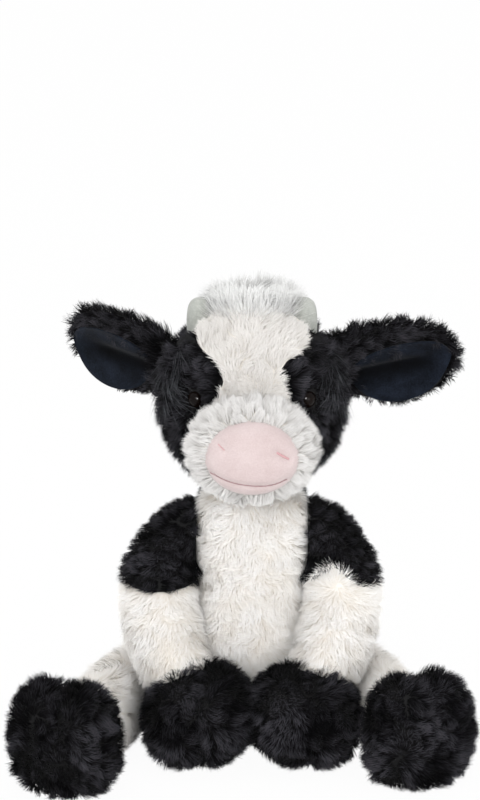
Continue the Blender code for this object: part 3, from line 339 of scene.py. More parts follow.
# Painted shade: the lining's colour is multiplied down by a share that each point carries, highest along the middle
# fold.
painted_fold_shade = add(tree, "Attribute", attribute_name="painted_fold_shade").outputs["Fac"]
fold_shade_factor = add(tree, "MapRange", [("Value", painted_fold_shade)], To_Min=1.0, To_Max=0.12).outputs["Result"]
shader = tree.nodes["Principled BSDF"]
cloth = shader.inputs["Base Color"].links[0].from_socket
tree.links.new(add(tree, "VectorMath", [(0, cloth), (1, fold_shade_factor)], operation="MULTIPLY").outputs["Vector"],
               shader.inputs["Base Color"])
# Horn velour: grey with a little green, soft at its edges.
horn_velour = cloth_material("sage_grey_horn_velour", "#9da09a", "#bbbdb7", 0.9, 7.0, 0.25, Roughness=0.9,
                             Sheen_Weight=0.3, Sheen_Roughness=0.5)
# Woven cotton, unbleached: plain and matt.
pouch_cotton = cloth_material("unbleached_cotton_lining", "#cfc8b9", "#e0dacd", 0.6, 5.0, 0.1, Roughness=0.95)
# Carded polyester fibre: a white, uneven fluff.
fibre_fill = cloth_material("polyester_fibre_filling", "#e8e8e4", "#fafaf8", 2.5, 9.0, 0.8, Roughness=1.0)
# Spun polyester thread in mauve and rose: thin, with a little gloss.
stitch_thread = cloth_material("mauve_sewing_thread", "#8f7577", "#a98d8e", 0.4, 2.0, 0.05, Roughness=0.6)
nostril_thread = cloth_material("rose_sewing_thread", "#b98f92", "#cfa6a8", 0.4, 2.0, 0.05, Roughness=0.6)
print("cloth materials:", 9)

# %% Hard plastics: eye beads and washers
# The eyes are moulded acrylic, near black with a brown cast and a polished face. Wear shows as faint dulling.
eye_acrylic, tree, shader = new_material("polished_black_acrylic", IOR=1.42, Specular_IOR_Level=0.13)
cloudy = noise(tree, 3.0)
dulled = add(tree, "MapRange", [("Value", cloudy)], To_Min=0.04, To_Max=0.12)
tree.links.new(dulled.outputs["Result"], shader.inputs["Roughness"])
tree.links.new(blend_colours(tree, cloudy, "#060404", "#140c08"), shader.inputs["Base Color"])
# The washers are moulded polyethylene, milky and a little waxy.
washer_plastic, tree, shader = new_material("milky_polyethylene", IOR=1.51, Roughness=0.4)
tree.links.new(blend_colours(tree, noise(tree, 4.0), "#cfd1d1", "#e2e4e4"), shader.inputs["Base Color"])
print("plastics:", eye_acrylic.name, washer_plastic.name)

# %% [markdown]
# ## Growing fur
# Blender can grow hair as particles or as curves, but the model has to leave Blender as plain meshes. So each
# lock is a slim leaf, a ribbon that narrows to its tip and turns its face outwards, bent along a path. A lock
# starts steeply from the skin and settles to lie along it. Locks stand in clumps that share a direction, as the
# fibres of real plush cling together. In curly plush each clump is a rosette: its locks run round its middle,
# and it stands up as a small round puff.

# %% Lock scatter


def scatter(grid, density, wrap, where):
    """Roots spread evenly by area: equal steps along the summed area of the grid's faces, then a chance place
    on the face that each step lands in. Density is in roots to a square millimetre, and where gives each face a
    share from 0 to 1 of its fur."""
    if wrap:
        grid = np.concatenate([grid, grid[:, :1]], 1)
    facing = outward(grid)[0]
    corners = [grid[:-1, :-1], grid[:-1, 1:], grid[1:, 1:], grid[1:, :-1]]
    area = 0.5 * np.linalg.norm(np.cross(corners[2] - corners[0], corners[3] - corners[1]), axis=-1)
    if where is not None:
        area = area * where(sum(corners) / 4.0)
    total = np.cumsum(area.ravel())
    count = int(max(total[-1] * density, 8))
    face = np.searchsorted(total, (np.arange(count) + chance.random(count)) / count * total[-1])
    face = np.minimum(face, len(total) - 1)
    s, t = chance.random((2, count, 1))
    weights = ((1 - s) * (1 - t), s * (1 - t), s * t, (1 - s) * t)
    turns = [facing[:-1, :-1], facing[:-1, 1:], facing[1:, 1:], facing[1:, :-1]]
    roots = sum(w * c.reshape(-1, 3)[face] for w, c in zip(weights, corners))
    out = unit(sum(w * c.reshape(-1, 3)[face] for w, c in zip(weights, turns)))
    return roots, out, total[-1]


def nearest(points, centres):
    """The number of the centre nearest to each point, in blocks to save memory."""
    blocks = np.array_split(points, max(len(points) // 1500, 1))
    return np.concatenate([((b[:, None] - centres[None]) ** 2).sum(-1).argmin(1) for b in blocks])


print("scatter ready")

# %% Lock shapes


def lock_mesh(name, path, out, width, tone, twist, soft, material):
    """Leaves along their paths. Each section is a left and a right point, half the width from the path along
    the direction square to both the path and the skin's outward direction, which is then turned by the twist.
    The width narrows with the power 0.7 of what is left of the lock. A lock is a bundle of round fibres, so its
    shading directions lean by the share soft from the leaf's own face to the skin's outward direction."""
    count, sections = path.shape[0], path.shape[1] - 1
    t = np.linspace(0.0, 1.0, sections + 1)
    ahead = unit(np.diff(path, axis=1))
    side = unit(np.cross(ahead, out[:, None]))
    side = side * np.cos(twist)[:, None, None] + np.cross(side, ahead) * np.sin(twist)[:, None, None]
    taper = (0.7 + 0.3 * np.minimum(t[:-1] / 0.25, 1.0)) * (1.0 - t[:-1]) ** 0.7
    half = (0.5 * width[:, None] * taper)[..., None]
    pairs = np.stack([path[:, :-1] - side * half, path[:, :-1] + side * half], 2)
    each = 2 * sections + 1
    points = np.concatenate([pairs.reshape(count, -1, 3), path[:, -1:]], 1)
    uv = np.empty((count, each, 2))
    uv[:, :-1, 0] = tone[:, None] + 0.012 * np.tile([-1.0, 1.0], sections)
    uv[:, -1, 0] = tone
    uv[:, :, 1] = np.append(np.repeat(t[:-1], 2), 1.0)
    low = 2 * np.arange(sections - 1)[:, None]
    quads = low + [0, 1, 3, 2]
    tris = np.array([[each - 3, each - 2, each - 1]])
    shift = (np.arange(count) * each)[:, None, None]
    piece = make_piece(name, points.reshape(-1, 3), (quads + shift).reshape(-1, 4), (tris + shift).reshape(-1, 3),
                       material, np.clip(uv, 0.005, 0.995).reshape(-1, 2))
    face = np.repeat(unit(np.cross(side, ahead)), 2, axis=1)
    face = np.concatenate([face, face[:, -1:]], 1)
    shading = unit((1.0 - soft) * face + soft * out[:, None])
    piece.data.attributes.new("custom_normal", "FLOAT_VECTOR", "POINT").data.foreach_set("vector", shading.ravel())
    return piece


def slow_waves(points):
    """A smooth field from -1 to 1: three sine waves, 20 to 26 mm long, that cross each other at a slant."""
    slants = np.array([(0.16, 0.05, 0.21), (-0.22, 0.12, 0.12), (0.09, -0.20, -0.18)])
    return np.sin(points @ slants.T + [0.0, 1.7, 4.1]).sum(-1) / 2.2


def grow(name, skin, grid, comb, pile, material, wrap=True, where=None, trim=None):
    """Fur on a grid. A lock's heading leans from its rise angle to its settled angle as it leaves the skin, and
    swings sideways by its curl; each step of the path follows that heading. A puff lifts the middle of a clump.
    Last, tips are drawn to the middle of their clump. Trim gives each root a share of the full length."""
    roots, out, area = scatter(grid, pile["density"] / 100.0, wrap, where)
    count = len(roots)
    middles, _, _ = scatter(grid, pile["clump"] ** -2, wrap, where)
    group = nearest(roots, middles)
    toward = middles[group] - roots
    apart = np.linalg.norm(toward, axis=1)
    size = chance.uniform(0.82, 1.15, len(middles))[group] * chance.uniform(0.8, 1.15, count)
    length = pile["length"] * size * (1.0 if trim is None else trim(roots))
    turn = (chance.normal(0.0, pile["stray"], len(middles))[group] + chance.normal(0.0, pile["jitter"], count)
            + pile["sway"] * slow_waves(roots))
    curl = np.minimum(length / (apart + 1.5), pile["curl"]) * chance.choice([-1.0, 1.0], len(middles))[group]
    lay = comb(roots)
    lay = unit(lay - out * (lay * out).sum(-1, keepdims=True))
    whorl = unit(np.cross(out, -toward) * np.sign(curl)[:, None])
    lay = unit(lay * (1.0 - pile["whorl"]) + whorl * pile["whorl"])
    side = np.cross(out, lay)
    t = np.linspace(0.0, 1.0, pile["sections"] + 1)
    swing = turn[:, None] + curl[:, None] * t
    lift = np.radians(pile["rise"] + (pile["settle"] - pile["rise"]) * t) + chance.normal(0.0, 0.1, (count, 1))
    lean = lay[:, None] * np.cos(swing)[..., None] + side[:, None] * np.sin(swing)[..., None]
    heading = lean * np.cos(lift)[..., None] + out[:, None] * np.sin(lift)[..., None]
    step = (length / pile["sections"])[:, None, None]
    path = np.concatenate([np.zeros((count, 1, 3)), np.cumsum(heading[:, :-1] * step, 1)], 1)
    puff = pile["puff"] * np.clip(1.0 - (apart / pile["clump"]) ** 2, 0.0, 1.0) - 0.6
    path += (roots + out * puff[:, None])[:, None] + toward[:, None] * (pile["pull"] * t ** 1.5)[None, :, None]
    path[..., 2] = np.maximum(path[..., 2], 0.4 + 0.5 * chance.random((count, 1)))
    # The lock's tone: darker towards its clump's rim, which is painted shade between the clumps; a random part for
    # each clump and each lock; and broad light and dark patches by the pile's patch, which are painted sheen.
    shade = (0.6 - 0.45 * (apart / pile["clump"]) ** 2 + 0.13 * chance.normal(0.0, 1.0, len(middles))[group]
             + 0.16 * chance.normal(0.0, 1.0, count) + pile["patch"] * slow_waves(roots[:, ::-1] * 0.8 + 11.0))
    piece = lock_mesh(name, path, out, pile["width"] * chance.uniform(0.75, 1.2, count),
                      np.clip(shade, 0.02, 0.98), chance.uniform(-0.6, 0.6, count), pile["soft"],
                      material)
    piece.parent = skin
    print(f"{name}: {count} locks on {area / 100:.0f} square cm, {len(piece.data.loop_triangles)} triangles")
    return piece


# Sizes in millimetres, density in locks to a square centimetre, angles in degrees, curl in radians.
# Patch is the strength of broad light and dark patches in a pile's tone: painted sheen.
CURLY = dict(density=200, clump=8.0, length=8.2, width=0.47, rise=40, settle=8, curl=1.0, stray=0.3, jitter=0.32,
             whorl=0.3, pull=0.14, puff=1.2, sway=0.8, soft=0.84, patch=0.05, sections=3)
SOFT = dict(density=300, clump=6.0, length=6.0, width=0.42, rise=46, settle=16, curl=0.4, stray=0.35, jitter=0.3,
            whorl=0.1, pull=0.2, puff=1.0, sway=0.8, soft=0.7, patch=0.1, sections=3)
FLUFFY = dict(density=265, clump=5.2, length=7.0, width=0.42, rise=58, settle=34, curl=0.4, stray=0.32, jitter=0.2,
              whorl=0.0, pull=0.6, puff=0.5, sway=0.3, soft=0.42, patch=0.1, sections=3)
SHAGGY = dict(density=220, clump=5.2, length=6.8, width=0.51, rise=60, settle=30, curl=0.7, stray=0.6,
              jitter=0.3, whorl=0.2, pull=0.48, puff=1.3, sway=0.8, soft=0.4, patch=0.3, sections=3)
print("piles: curly, soft, fluffy, shaggy")


# %% [markdown]
# A dressed piece is a skin that rides on its body in the frame, stands for the solid it replaces, and carries
# its fur as a child, so that the fur goes wherever the skin goes.

# %% Dressing helper
FABRIC = 1.5


def dress(name, grid, material, body, node, sheet=False):
    """Make a skin and tie it to the frame: what it rides on and the solid it replaces. A sheet is an open grid that
    gets the fabric's thickness; other grids are closed and stuffed."""
    skin = panel_skin(name, grid, FABRIC, material) if sheet else stuffed_skin(name, grid, material)
    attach(skin, body)
    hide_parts(node)
    return skin


# %% [markdown]
# ## The body
# The trunk is a pear: a wide seat, a narrower chest and a neck opening. Four panels make it: a base, a white
# chest and belly, a white rump and a black saddle across the upper back. All four are cut from one form, which
# is rings of a rounded square whose sizes are read smoothly from a table. A panel is the form between two seams.

# %% Body form
# height, half width, half depth, middle in y, squareness
BODY_ROWS = [(-0.5, 0.0, 0.0, 6.0, 2.2)] + [
    (136.5 * h - 0.5, 37.6 * w, 41.0 * d, 6.0 * s, n) for h, w, d, s, n in (
        (0.000, 0.56, 0.56, 1.00, 2.2), (0.010, 0.82, 0.80, 1.00, 2.4), (0.075, 0.97, 0.95, 1.00, 2.6),
        (0.200, 1.00, 1.01, 1.00, 2.6), (0.345, 0.99, 1.00, 1.00, 2.6), (0.465, 0.92, 0.93, 1.00, 2.6),
        (0.560, 0.83, 0.85, 0.90, 2.8), (0.650, 0.765, 0.78, 0.72, 3.0), (0.840, 0.765, 0.67, 0.40, 3.0),
        (0.935, 0.74, 0.59, 0.20, 2.8), (1.000, 0.58, 0.50, 0.10, 2.4))] + [(142.0, 0.0, 0.0, 0.0, 2.4)]
BASE_SEAM, SADDLE_SEAM, SIDE_SEAM_Y, NECK_SEAM = 4.0, 87.04, 2.0, 135.6
# Half the gap of a seam, as a height in millimetres and as an angle at the sides.
HALF_SEAM, HALF_SEAM_TURN = 0.15, 0.006


def body_form(u, v, inset=0.0):
    """Rings of a superellipse: half width times its cosine in x, half depth times its sine in y, height in z."""
    z, wide, deep, y, square = columns(BODY_ROWS, v)
    c, s = section(u, square)
    return stacked((wide - inset) * c, y + (deep - inset) * s, z)


def body_panel(front, low, high, across, rows):
    """Between two heights, and from side seam to side seam, where y is the seam's."""
    v = np.linspace(0.0, 1.0, 800)
    heights = carried(BODY_ROWS, v)[:, 0]
    v = np.linspace(np.interp(low, heights, v), np.interp(high, heights, v), rows)[:, None]
    _, _, deep, y, square = columns(BODY_ROWS, v)
    level = (SIDE_SEAM_Y - y) / deep
    seam = np.arcsin(np.sign(level) * np.abs(level) ** (square / 2.0))
    first, last = (math.pi - seam, 2.0 * math.pi + seam) if front else (seam, math.pi - seam)
    first, last = first + HALF_SEAM_TURN, last - HALF_SEAM_TURN
    return body_form(first + (last - first) * np.linspace(0.0, 1.0, across)[None], v)


chest_grid = body_panel(True, BASE_SEAM + HALF_SEAM, NECK_SEAM, 65, 60)
saddle_grid = body_panel(False, SADDLE_SEAM + HALF_SEAM, NECK_SEAM, 49, 26)
rump_grid = body_panel(False, BASE_SEAM + HALF_SEAM, SADDLE_SEAM - HALF_SEAM, 65, 40)
chest = dress("chest_belly_skin", chest_grid, white_backing, "body", "chest_belly_panel", sheet=True)
saddle = dress("back_saddle_skin", saddle_grid, black_backing, "body", "back_saddle_panel", sheet=True)
rump = dress("rump_skin", rump_grid, white_backing, "body", "rump_panel", sheet=True)
# The base is closed: out along the underside to its rim, and back along the inside, one fabric higher.
v = np.linspace(0.02, 1.0, 12)[:, None]
samples = np.linspace(0.0, 1.0, 800)
rim = float(np.interp(BASE_SEAM - HALF_SEAM, carried(BODY_ROWS, samples)[:, 0], samples))
under = body_form(full_turn(72)[None], v * rim)
inner = body_form(full_turn(72)[None], v[::-1] * rim, FABRIC) + Z * np.linspace(0.0, FABRIC, 12)[:, None, None]
inner[..., 2] = np.minimum(inner[..., 2], BASE_SEAM - HALF_SEAM)
base_grid = on_floor(np.concatenate([under, inner[1:]]))
dress("base_skin", base_grid, white_backing, "body", "base_panel")
print("chest panel grid", chest_grid.shape[:2], "height of the neck seam", round(chest_grid[-1, :, 2].mean(), 1))

# %% Body fur
# The fur of a trunk is combed down. On the belly it is curly and turns in rosettes, on the saddle it is shaggy.


def combed_down(points):
    """Straight down, and a little outwards on each side."""
    return -Z + 0.15 * X * np.sign(points[:, :1])


grow("chest_belly_fur", chest, chest_grid, combed_down, CURLY, white_pile, wrap=False)
grow("back_saddle_fur", saddle, saddle_grid, combed_down, SHAGGY, black_pile, wrap=False)
grow("rump_fur", rump, rump_grid, combed_down, dict(CURLY, density=160, width=0.52), white_pile, wrap=False)

# %% [markdown]
# Inside the panels are loose polyester fibre and, low in the seat, a cotton pouch of plastic beans that keeps
# the toy upright. The filling is the body's own form, smaller by the fabric, with a hollow that holds the pouch.

# %% Body filling and bean pouch
FILL_INSET, FILL_TOP = 2.4, 133.0
outer = carried(BODY_ROWS, np.linspace(0.03, 0.93, 40)) - [0.0, FILL_INSET, FILL_INSET, 0.0, 0.0]
outer = outer[(outer[:, 0] > FILL_INSET + 0.4) & (outer[:, 0] < FILL_TOP)]
hollow = np.array([(14.6, 4.0, 4.0, 6.0, 2.0), (14.3, 15.0, 13.0, 6.0, 2.0), (11.5, 25.0, 22.0, 6.0, 2.0),
                   (6.0, 27.5, 24.5, 6.0, 2.0), (2.6, 27.8, 24.8, 6.0, 2.1)])
cap = np.array([(134.2, 14.0, 13.0, 0.6, 2.2), (134.4, 4.0, 4.0, 0.6, 2.2)])
z, wide, deep, y, square = np.moveaxis(np.concatenate([hollow, outer, cap])[:, None], -1, 0)
c, s = section(full_turn(48)[None], square)
filling_grid = stacked(wide * c, y + deep * s, z)
dress("body_filling", filling_grid, fibre_fill, "body", "body_stuffing")

POUCH_WIDE, POUCH_DEEP, POUCH_Y = 25.0, 22.0, 6.0
POUCH_ROWS = [(1.3, 0.0), (1.3, 0.66), (3.9, 0.93), (8.7, 1.00), (12.1, 0.66), (13.3, 0.0)]


def pouch_form(u, v):
    """Ellipse rings, with eight soft puckers round the rim where the pouch is gathered and sewn."""
    z, size = columns(POUCH_ROWS, v)
    size = size * (1.0 - 0.03 * (1.0 - np.cos(8.0 * u)))
    return stacked(POUCH_WIDE * size * np.cos(u), POUCH_Y + POUCH_DEEP * size * np.sin(u), z)


pouch_grid = pouch_form(full_turn(64)[None], np.linspace(0.04, 0.96, 20)[:, None])
dress("bean_pouch_cover", pouch_grid, pouch_cotton, "body", "bean_pouch")
print("filling rows", len(filling_grid), "top", round(filling_grid[..., 2].max(), 1))

# %% [markdown]
# ## Neck and head
# The neck is a short stuffed stub with a round top, and the head turns and nods on it. The head is an upright
# egg, sewn from two black side panels and a white blaze that runs from between the eyes over the crown. The
# panels are the same form again, cut where the blaze's outline crosses each ring.

# %% Neck and head form
# The neck's top is part of a ball, cut off NECK_FOOT above its middle. NECK_ROOM is the hollow's radius.
NECK_MIDDLE, NECK_RADIUS, NECK_FOOT, NECK_ROOM = np.array([0.0, 1.0, 130.0]), 20.0, 6.3, 21.0
NECK_FUR_TOP = 140.5
arc = (np.linspace(0.05, 1.0, 14) * math.acos(NECK_FOOT / NECK_RADIUS))[::-1, None]
ring, u = NECK_RADIUS * np.sin(arc), full_turn(48)[None]
neck_grid = NECK_MIDDLE + stacked(ring * np.cos(u), ring * np.sin(u), NECK_RADIUS * np.cos(arc))
neck = dress("neck_skin", neck_grid, white_backing, "neck", "neck")
grow("neck_fur", neck, neck_grid, combed_down, dict(SOFT, length=4.4, puff=0.0, curl=0.8), white_pile,
     where=lambda points: (points[..., 2] < NECK_FUR_TOP) * 1.0)

HEAD_LOW, HEAD_TALL, HEAD_WIDE, HEAD_DEEP, HEAD_Y = 139.0, 101.0, 45.5, 44.0, -4.0
HEAD_ROWS = [(0.0, 0.0, 0.0), (0.03, 0.36, 0.38), (0.10, 0.64, 0.66), (0.22, 0.89, 0.88), (0.37, 1.01, 1.01),
             (0.52, 1.01, 1.02), (0.67, 0.93, 0.97), (0.80, 0.79, 0.84), (0.91, 0.57, 0.62), (0.98, 0.28, 0.30),
             (1.0, 0.0, 0.0)]
BLAZE = np.array([(0.40, 0.50), (0.35, 0.62), (0.30, 0.70), (0.40, 0.755), (0.60, 0.80), (0.63, 0.86),
                  (0.58, 0.93), (0.56, 1.06)])
BLAZE_BACK_Y = 6.0


def head_form(u, v, inset=0.0):
    """Ellipse rings: half width times cosine in x, half depth times sine in y."""
    rise, wide, deep = columns(HEAD_ROWS, v)
    return stacked((HEAD_WIDE * wide - inset) * np.cos(u), HEAD_Y + (HEAD_DEEP * deep - inset) * np.sin(u),
                   HEAD_LOW + HEAD_TALL * rise)


def blaze_edge(v, gap=0.0):
    """The angle from straight ahead to the blaze's edge on a ring: where x passes the outline, or y its back."""
    rise, wide, deep = columns(HEAD_ROWS, v)
    share = np.interp(rise, BLAZE[:, 1], BLAZE[:, 0])
    side = np.arcsin(np.clip((share * HEAD_WIDE + gap) / (HEAD_WIDE * wide), 0.0, 1.0))
    back = math.pi / 2.0 + np.arcsin(np.clip((BLAZE_BACK_Y - HEAD_Y) / (HEAD_DEEP * deep), -1.0, 1.0))
    beyond = share * HEAD_WIDE + gap >= HEAD_WIDE * wide * 0.999
    return np.where(beyond, back, side) * np.where(rise < 0.5, 0.0, 1.0)


v = np.linspace(0.0, 1.0, 1600)
rise = carried(HEAD_ROWS, v)[:, 0]
v_blaze, v_top = float(np.interp(0.502, rise, v)), float(np.interp(0.985, rise, v))
ahead = 1.5 * math.pi
blaze_v = np.linspace(v_blaze, v_top, 44)[:, None]
blaze_grid = head_form(ahead + blaze_edge(blaze_v) * np.linspace(-1.0, 1.0, 41)[None], blaze_v)
blaze = dress("face_blaze_skin", blaze_grid, white_backing, "head", "face_blaze", sheet=True)
head_v = np.concatenate([np.linspace(0.02, v_blaze - 0.001, 30), np.linspace(v_blaze, v_top, 36)])[:, None]
side_skins, side_grids = {}, {}
for word, side in SIDES:
    start = blaze_edge(head_v, 2.0 * HALF_SEAM) + HALF_SEAM_TURN
    turn = start + (math.pi - 0.002 - start) * np.linspace(0.0, 1.0, 60)[None]
    side_grids[word] = head_form(ahead + side * turn, head_v)
    side_skins[word] = dress("head_side_skin_" + word, side_grids[word], black_backing, "head",
                             "head_side_" + word, sheet=True)
print("head rings", len(head_v), "blaze half angle at the eyes, degrees",
      round(math.degrees(float(blaze_edge(np.array(v_blaze + 0.02)))), 1))

# %% [markdown]
# Fur on the face grows away from the middle: up and out on the blaze, back and down on the sides, and straight
# out round the muzzle like a brush. Each is a comb function that gives a direction for every root.

# %% Face fur
NOSE_AT = np.array([0.0, -84.0, 173.0])
EYE_AT = np.array([29.5, -37.0, 195.0])


def combed_back(points):
    """Back along the head and down, more down the lower a root is."""
    low = np.clip((215.0 - points[:, 2:]) / 60.0, 0.0, 1.2)
    front = np.clip((10.0 - points[:, 1:2]) / 30.0, 0.0, 1.0)
    return Y * 0.8 - Z * (0.25 + low) + X * np.sign(points[:, :1]) * 0.5 * front


def combed_up(points):
    """Up and away from the middle line."""
    return Z * 0.9 + X * points[:, :1] / 25.0


def from_eye(points):
    """Distance to the nearer eye, which is the same on both sides of x."""
    return np.linalg.norm(np.concatenate([np.abs(points[..., :1]), points[..., 1:]], -1) - EYE_AT, axis=-1)


def face_clear(points):
    """No fur on an eye or a horn, nor under the muzzle or on the neck's ball, where nothing shows."""
    x, y, z = np.moveaxis(points, -1, 0)
    hidden = (np.hypot(x / 27.0, (z - 172.5) / 19.0) < 1.0) & (y < -20.0)
    ball = np.linalg.norm(points - NECK_MIDDLE, axis=-1) < NECK_ROOM
    horn = (np.hypot(np.abs(x) - 27.0, y + 6.0) < 10.5) & (z > 215.0)
    return (from_eye(points) > 4.6) & ~hidden & ~ball & ~horn


def short_by_eye(points):
    """Fur is shorter close to the eyes, so that the beads show, and under the head, where it meets the body."""
    return np.clip((from_eye(points) - 3.4) / 8.0, 0.1, 1.0) * np.clip((points[..., 2] - 136.0) / 16.0, 0.3, 1.0)


grow("face_blaze_fur", blaze, blaze_grid, combed_up, SOFT, blaze_pile, wrap=False, where=face_clear)
for word, side in SIDES:
    grow("head_side_fur_" + word, side_skins[word], side_grids[word], combed_back,
         dict(SHAGGY, density=210, clump=6.0, length=7.4, rise=64, settle=40), black_pile,
         wrap=False, where=face_clear, trim=short_by_eye)

# %% [markdown]
# ## Muzzle and nose
# The muzzle is a stuffed oval that stands forward from the face, and the nose is a smooth velour oval set in
# its front. Two nostrils are pulled in with a few stitches, and a sewn mouth runs across below them.

# %% Muzzle and nose forms
MUZZLE_ROWS = [(0.0, 0.0), (0.02, 0.66), (0.20, 0.93), (0.45, 1.03), (0.68, 1.00), (0.86, 0.80), (0.96, 0.48),
               (1.0, 0.0)]
NOSE_ROWS = [(0.0, 0.0), (0.04, 0.70), (0.28, 1.00), (0.58, 1.02), (0.84, 0.80), (0.96, 0.46), (1.0, 0.0)]
# Half width, half height, middle in z, back end in y and length of each.
MUZZLE_SIZES, NOSE_SIZES = (30.4, 24.0, 172.5, -26.0, 57.0), (24.2, 19.3, 173.0, -64.0, 22.0)


def snout_form(rows, sizes, u, v):
    """Ellipse rings that run forward: half width times cosine in x, half height times sine in z."""
    wide, tall, middle, back, long = sizes
    ahead, size = columns(rows, v)
    return stacked(wide * size * np.cos(u), back - long * ahead, middle + tall * size * np.sin(u))


def on_nose(x, z, proud=0.0):
    """The point on the nose's front that is at x and z: its ring is the one whose size is that far from the axis."""
    wide, tall, middle, back, long = NOSE_SIZES
    ahead, size = columns(NOSE_ROWS, np.linspace(0.62, 1.0, 400))
    away = np.hypot(x / wide, (z - middle) / tall)
    return stacked(x, back - long * np.interp(-away, -size, ahead) - proud, z)


NOSE_FRONT_Y = -74.0
# Stitch lines on the nose, as x and z.
MOUTH = np.array([(-21.5, 167.2), (-17.0, 164.6), (-11.0, 162.4), (-4.9, 161.2), (2.0, 160.5), (8.1, 160.3),
                  (14.0, 161.6), (18.0, 163.6)])
NOSTRILS = {"right": np.array([(-17.2, 181.9), (-14.0, 179.4)]), "left": np.array([(12.6, 178.2), (18.7, 174.3)])}


def line_points(corners, count):
    """Points evenly along a line through corners, smoothed by the spline that reads every table."""
    return carried(corners, np.linspace(0.0, 1.0, count)) if len(corners) > 2 else (
        corners[0] + (corners[1] - corners[0]) * np.linspace(0.0, 1.0, count)[:, None])


def nose_form(u, v):
    """The plain form, drawn in along each stitch line on its front: the dent is a bell curve of the distance."""
    points = snout_form(NOSE_ROWS, NOSE_SIZES, u, v)
    for corners, deep, wide in ((MOUTH, 0.9, 1.8), (NOSTRILS["right"], 1.5, 2.8), (NOSTRILS["left"], 1.8, 2.8)):
        line = line_points(corners, 40)
        away = np.linalg.norm(points[..., None, ::2] - line, axis=-1).min(-1)
        points[..., 1] += deep * np.exp(-(away / wide) ** 2) * (points[..., 1] < NOSE_FRONT_Y)
    return points


muzzle_grid = snout_form(MUZZLE_ROWS, MUZZLE_SIZES, full_turn(72)[None], np.linspace(0.13, 0.86, 30)[:, None])
nose_grid = nose_form(full_turn(160)[None], np.linspace(0.10, 0.995, 90)[:, None])
muzzle = dress("muzzle_skin", muzzle_grid, white_backing, "head", "muzzle")
dress("nose_skin", nose_grid, nose_velour, "head", "nose_patch")
print("nose front at y", round(nose_grid[..., 1].min(), 1))

# %% Muzzle fur


def combed_from_nose(points):
    """Away from the nose's axis: a little forward round the nose, and back towards the face further behind."""
    away = points - NOSE_AT
    return unit(away * [1.0, 0.0, 1.0]) + Y * np.clip((points[:, 1:2] + 76.0) / 14.0, -0.25, 0.9)


def round_nose(points):
    """Only outside the nose, and not on the back end that meets the face."""
    outside = np.hypot(points[..., 0] / 21.5, (points[..., 2] - 173.0) / 16.8) > 1.0
    return (outside | (points[..., 1] > -64.0)) & (points[..., 1] < -30.0)


grow("muzzle_fur", muzzle, muzzle_grid, combed_from_nose, FLUFFY, muzzle_pile, where=round_nose)

# %% [markdown]
# A row of stitches is a thread that dips in and out of the cloth. It is a thin tube carried along the line, and
# its height over the cloth is a wave with one crest for each stitch.

# %% Stitches


def thread_tube(name, path, radius, material):
    """A round section carried along a path: cosine and sine across two directions square to the path."""
    ahead = unit(np.gradient(path, axis=0))
    side = unit(np.cross(ahead, Y))
    lift = np.cross(side, ahead)
    u = full_turn(8)[None, :, None]
    ends = np.minimum(np.linspace(0.0, 1.0, len(path)), np.linspace(1.0, 0.0, len(path))) * len(path)
    size = radius * np.clip(ends / 2.0, 0.35, 1.0)[:, None, None]
    grid = path[:, None] + size * (side[:, None] * np.cos(u) + lift[:, None] * np.sin(u))
    return stuffed_skin(name, grid, material)


def sewn_line(name, corners, stitch, radius, sunk, material):
    """A thread on the nose that rises and sinks once for each stitch length."""
    flat = line_points(corners, 160)
    run = np.concatenate([[0.0], np.cumsum(np.linalg.norm(np.diff(flat, axis=0), axis=1))])
    height = 0.35 * np.abs(np.sin(math.pi * run / stitch)) - 0.1
    piece = thread_tube(name, on_nose(flat[:, 0], flat[:, 1], height - sunk), radius, material)
    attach(piece, "head")
    return piece


# Each line's name, its corners, the length of a stitch, the thread's radius and how deep it is pulled in.
sewn_line("mouth_stitches", MOUTH, 2.6, 0.28, 0.75, stitch_thread)
sewn_line("nostril_stitch_right", NOSTRILS["right"], 8.0, 0.28, 1.52, nostril_thread)
sewn_line("nostril_stitch_left", NOSTRILS["left"], 8.0, 0.55, 1.6, nostril_thread)
print("stitch lines: 1 mouth, 2 nostrils")

# %% [markdown]
# ## Eyes
# Safety eyes are moulded beads: a polished dome, and a shank that passes through the fabric and is caught by a
# washer inside. A dome and its shank are one turned profile. The frame's own bead gives the axis to turn about.

# %% Eyes
BEAD_RADIUS, BEAD_HIGH, SHANK_RADIUS, SHANK_LONG = 4.6, 3.6, 1.5, 8.0
a = np.linspace(0.02, 1.0, 16) * math.pi / 2.0
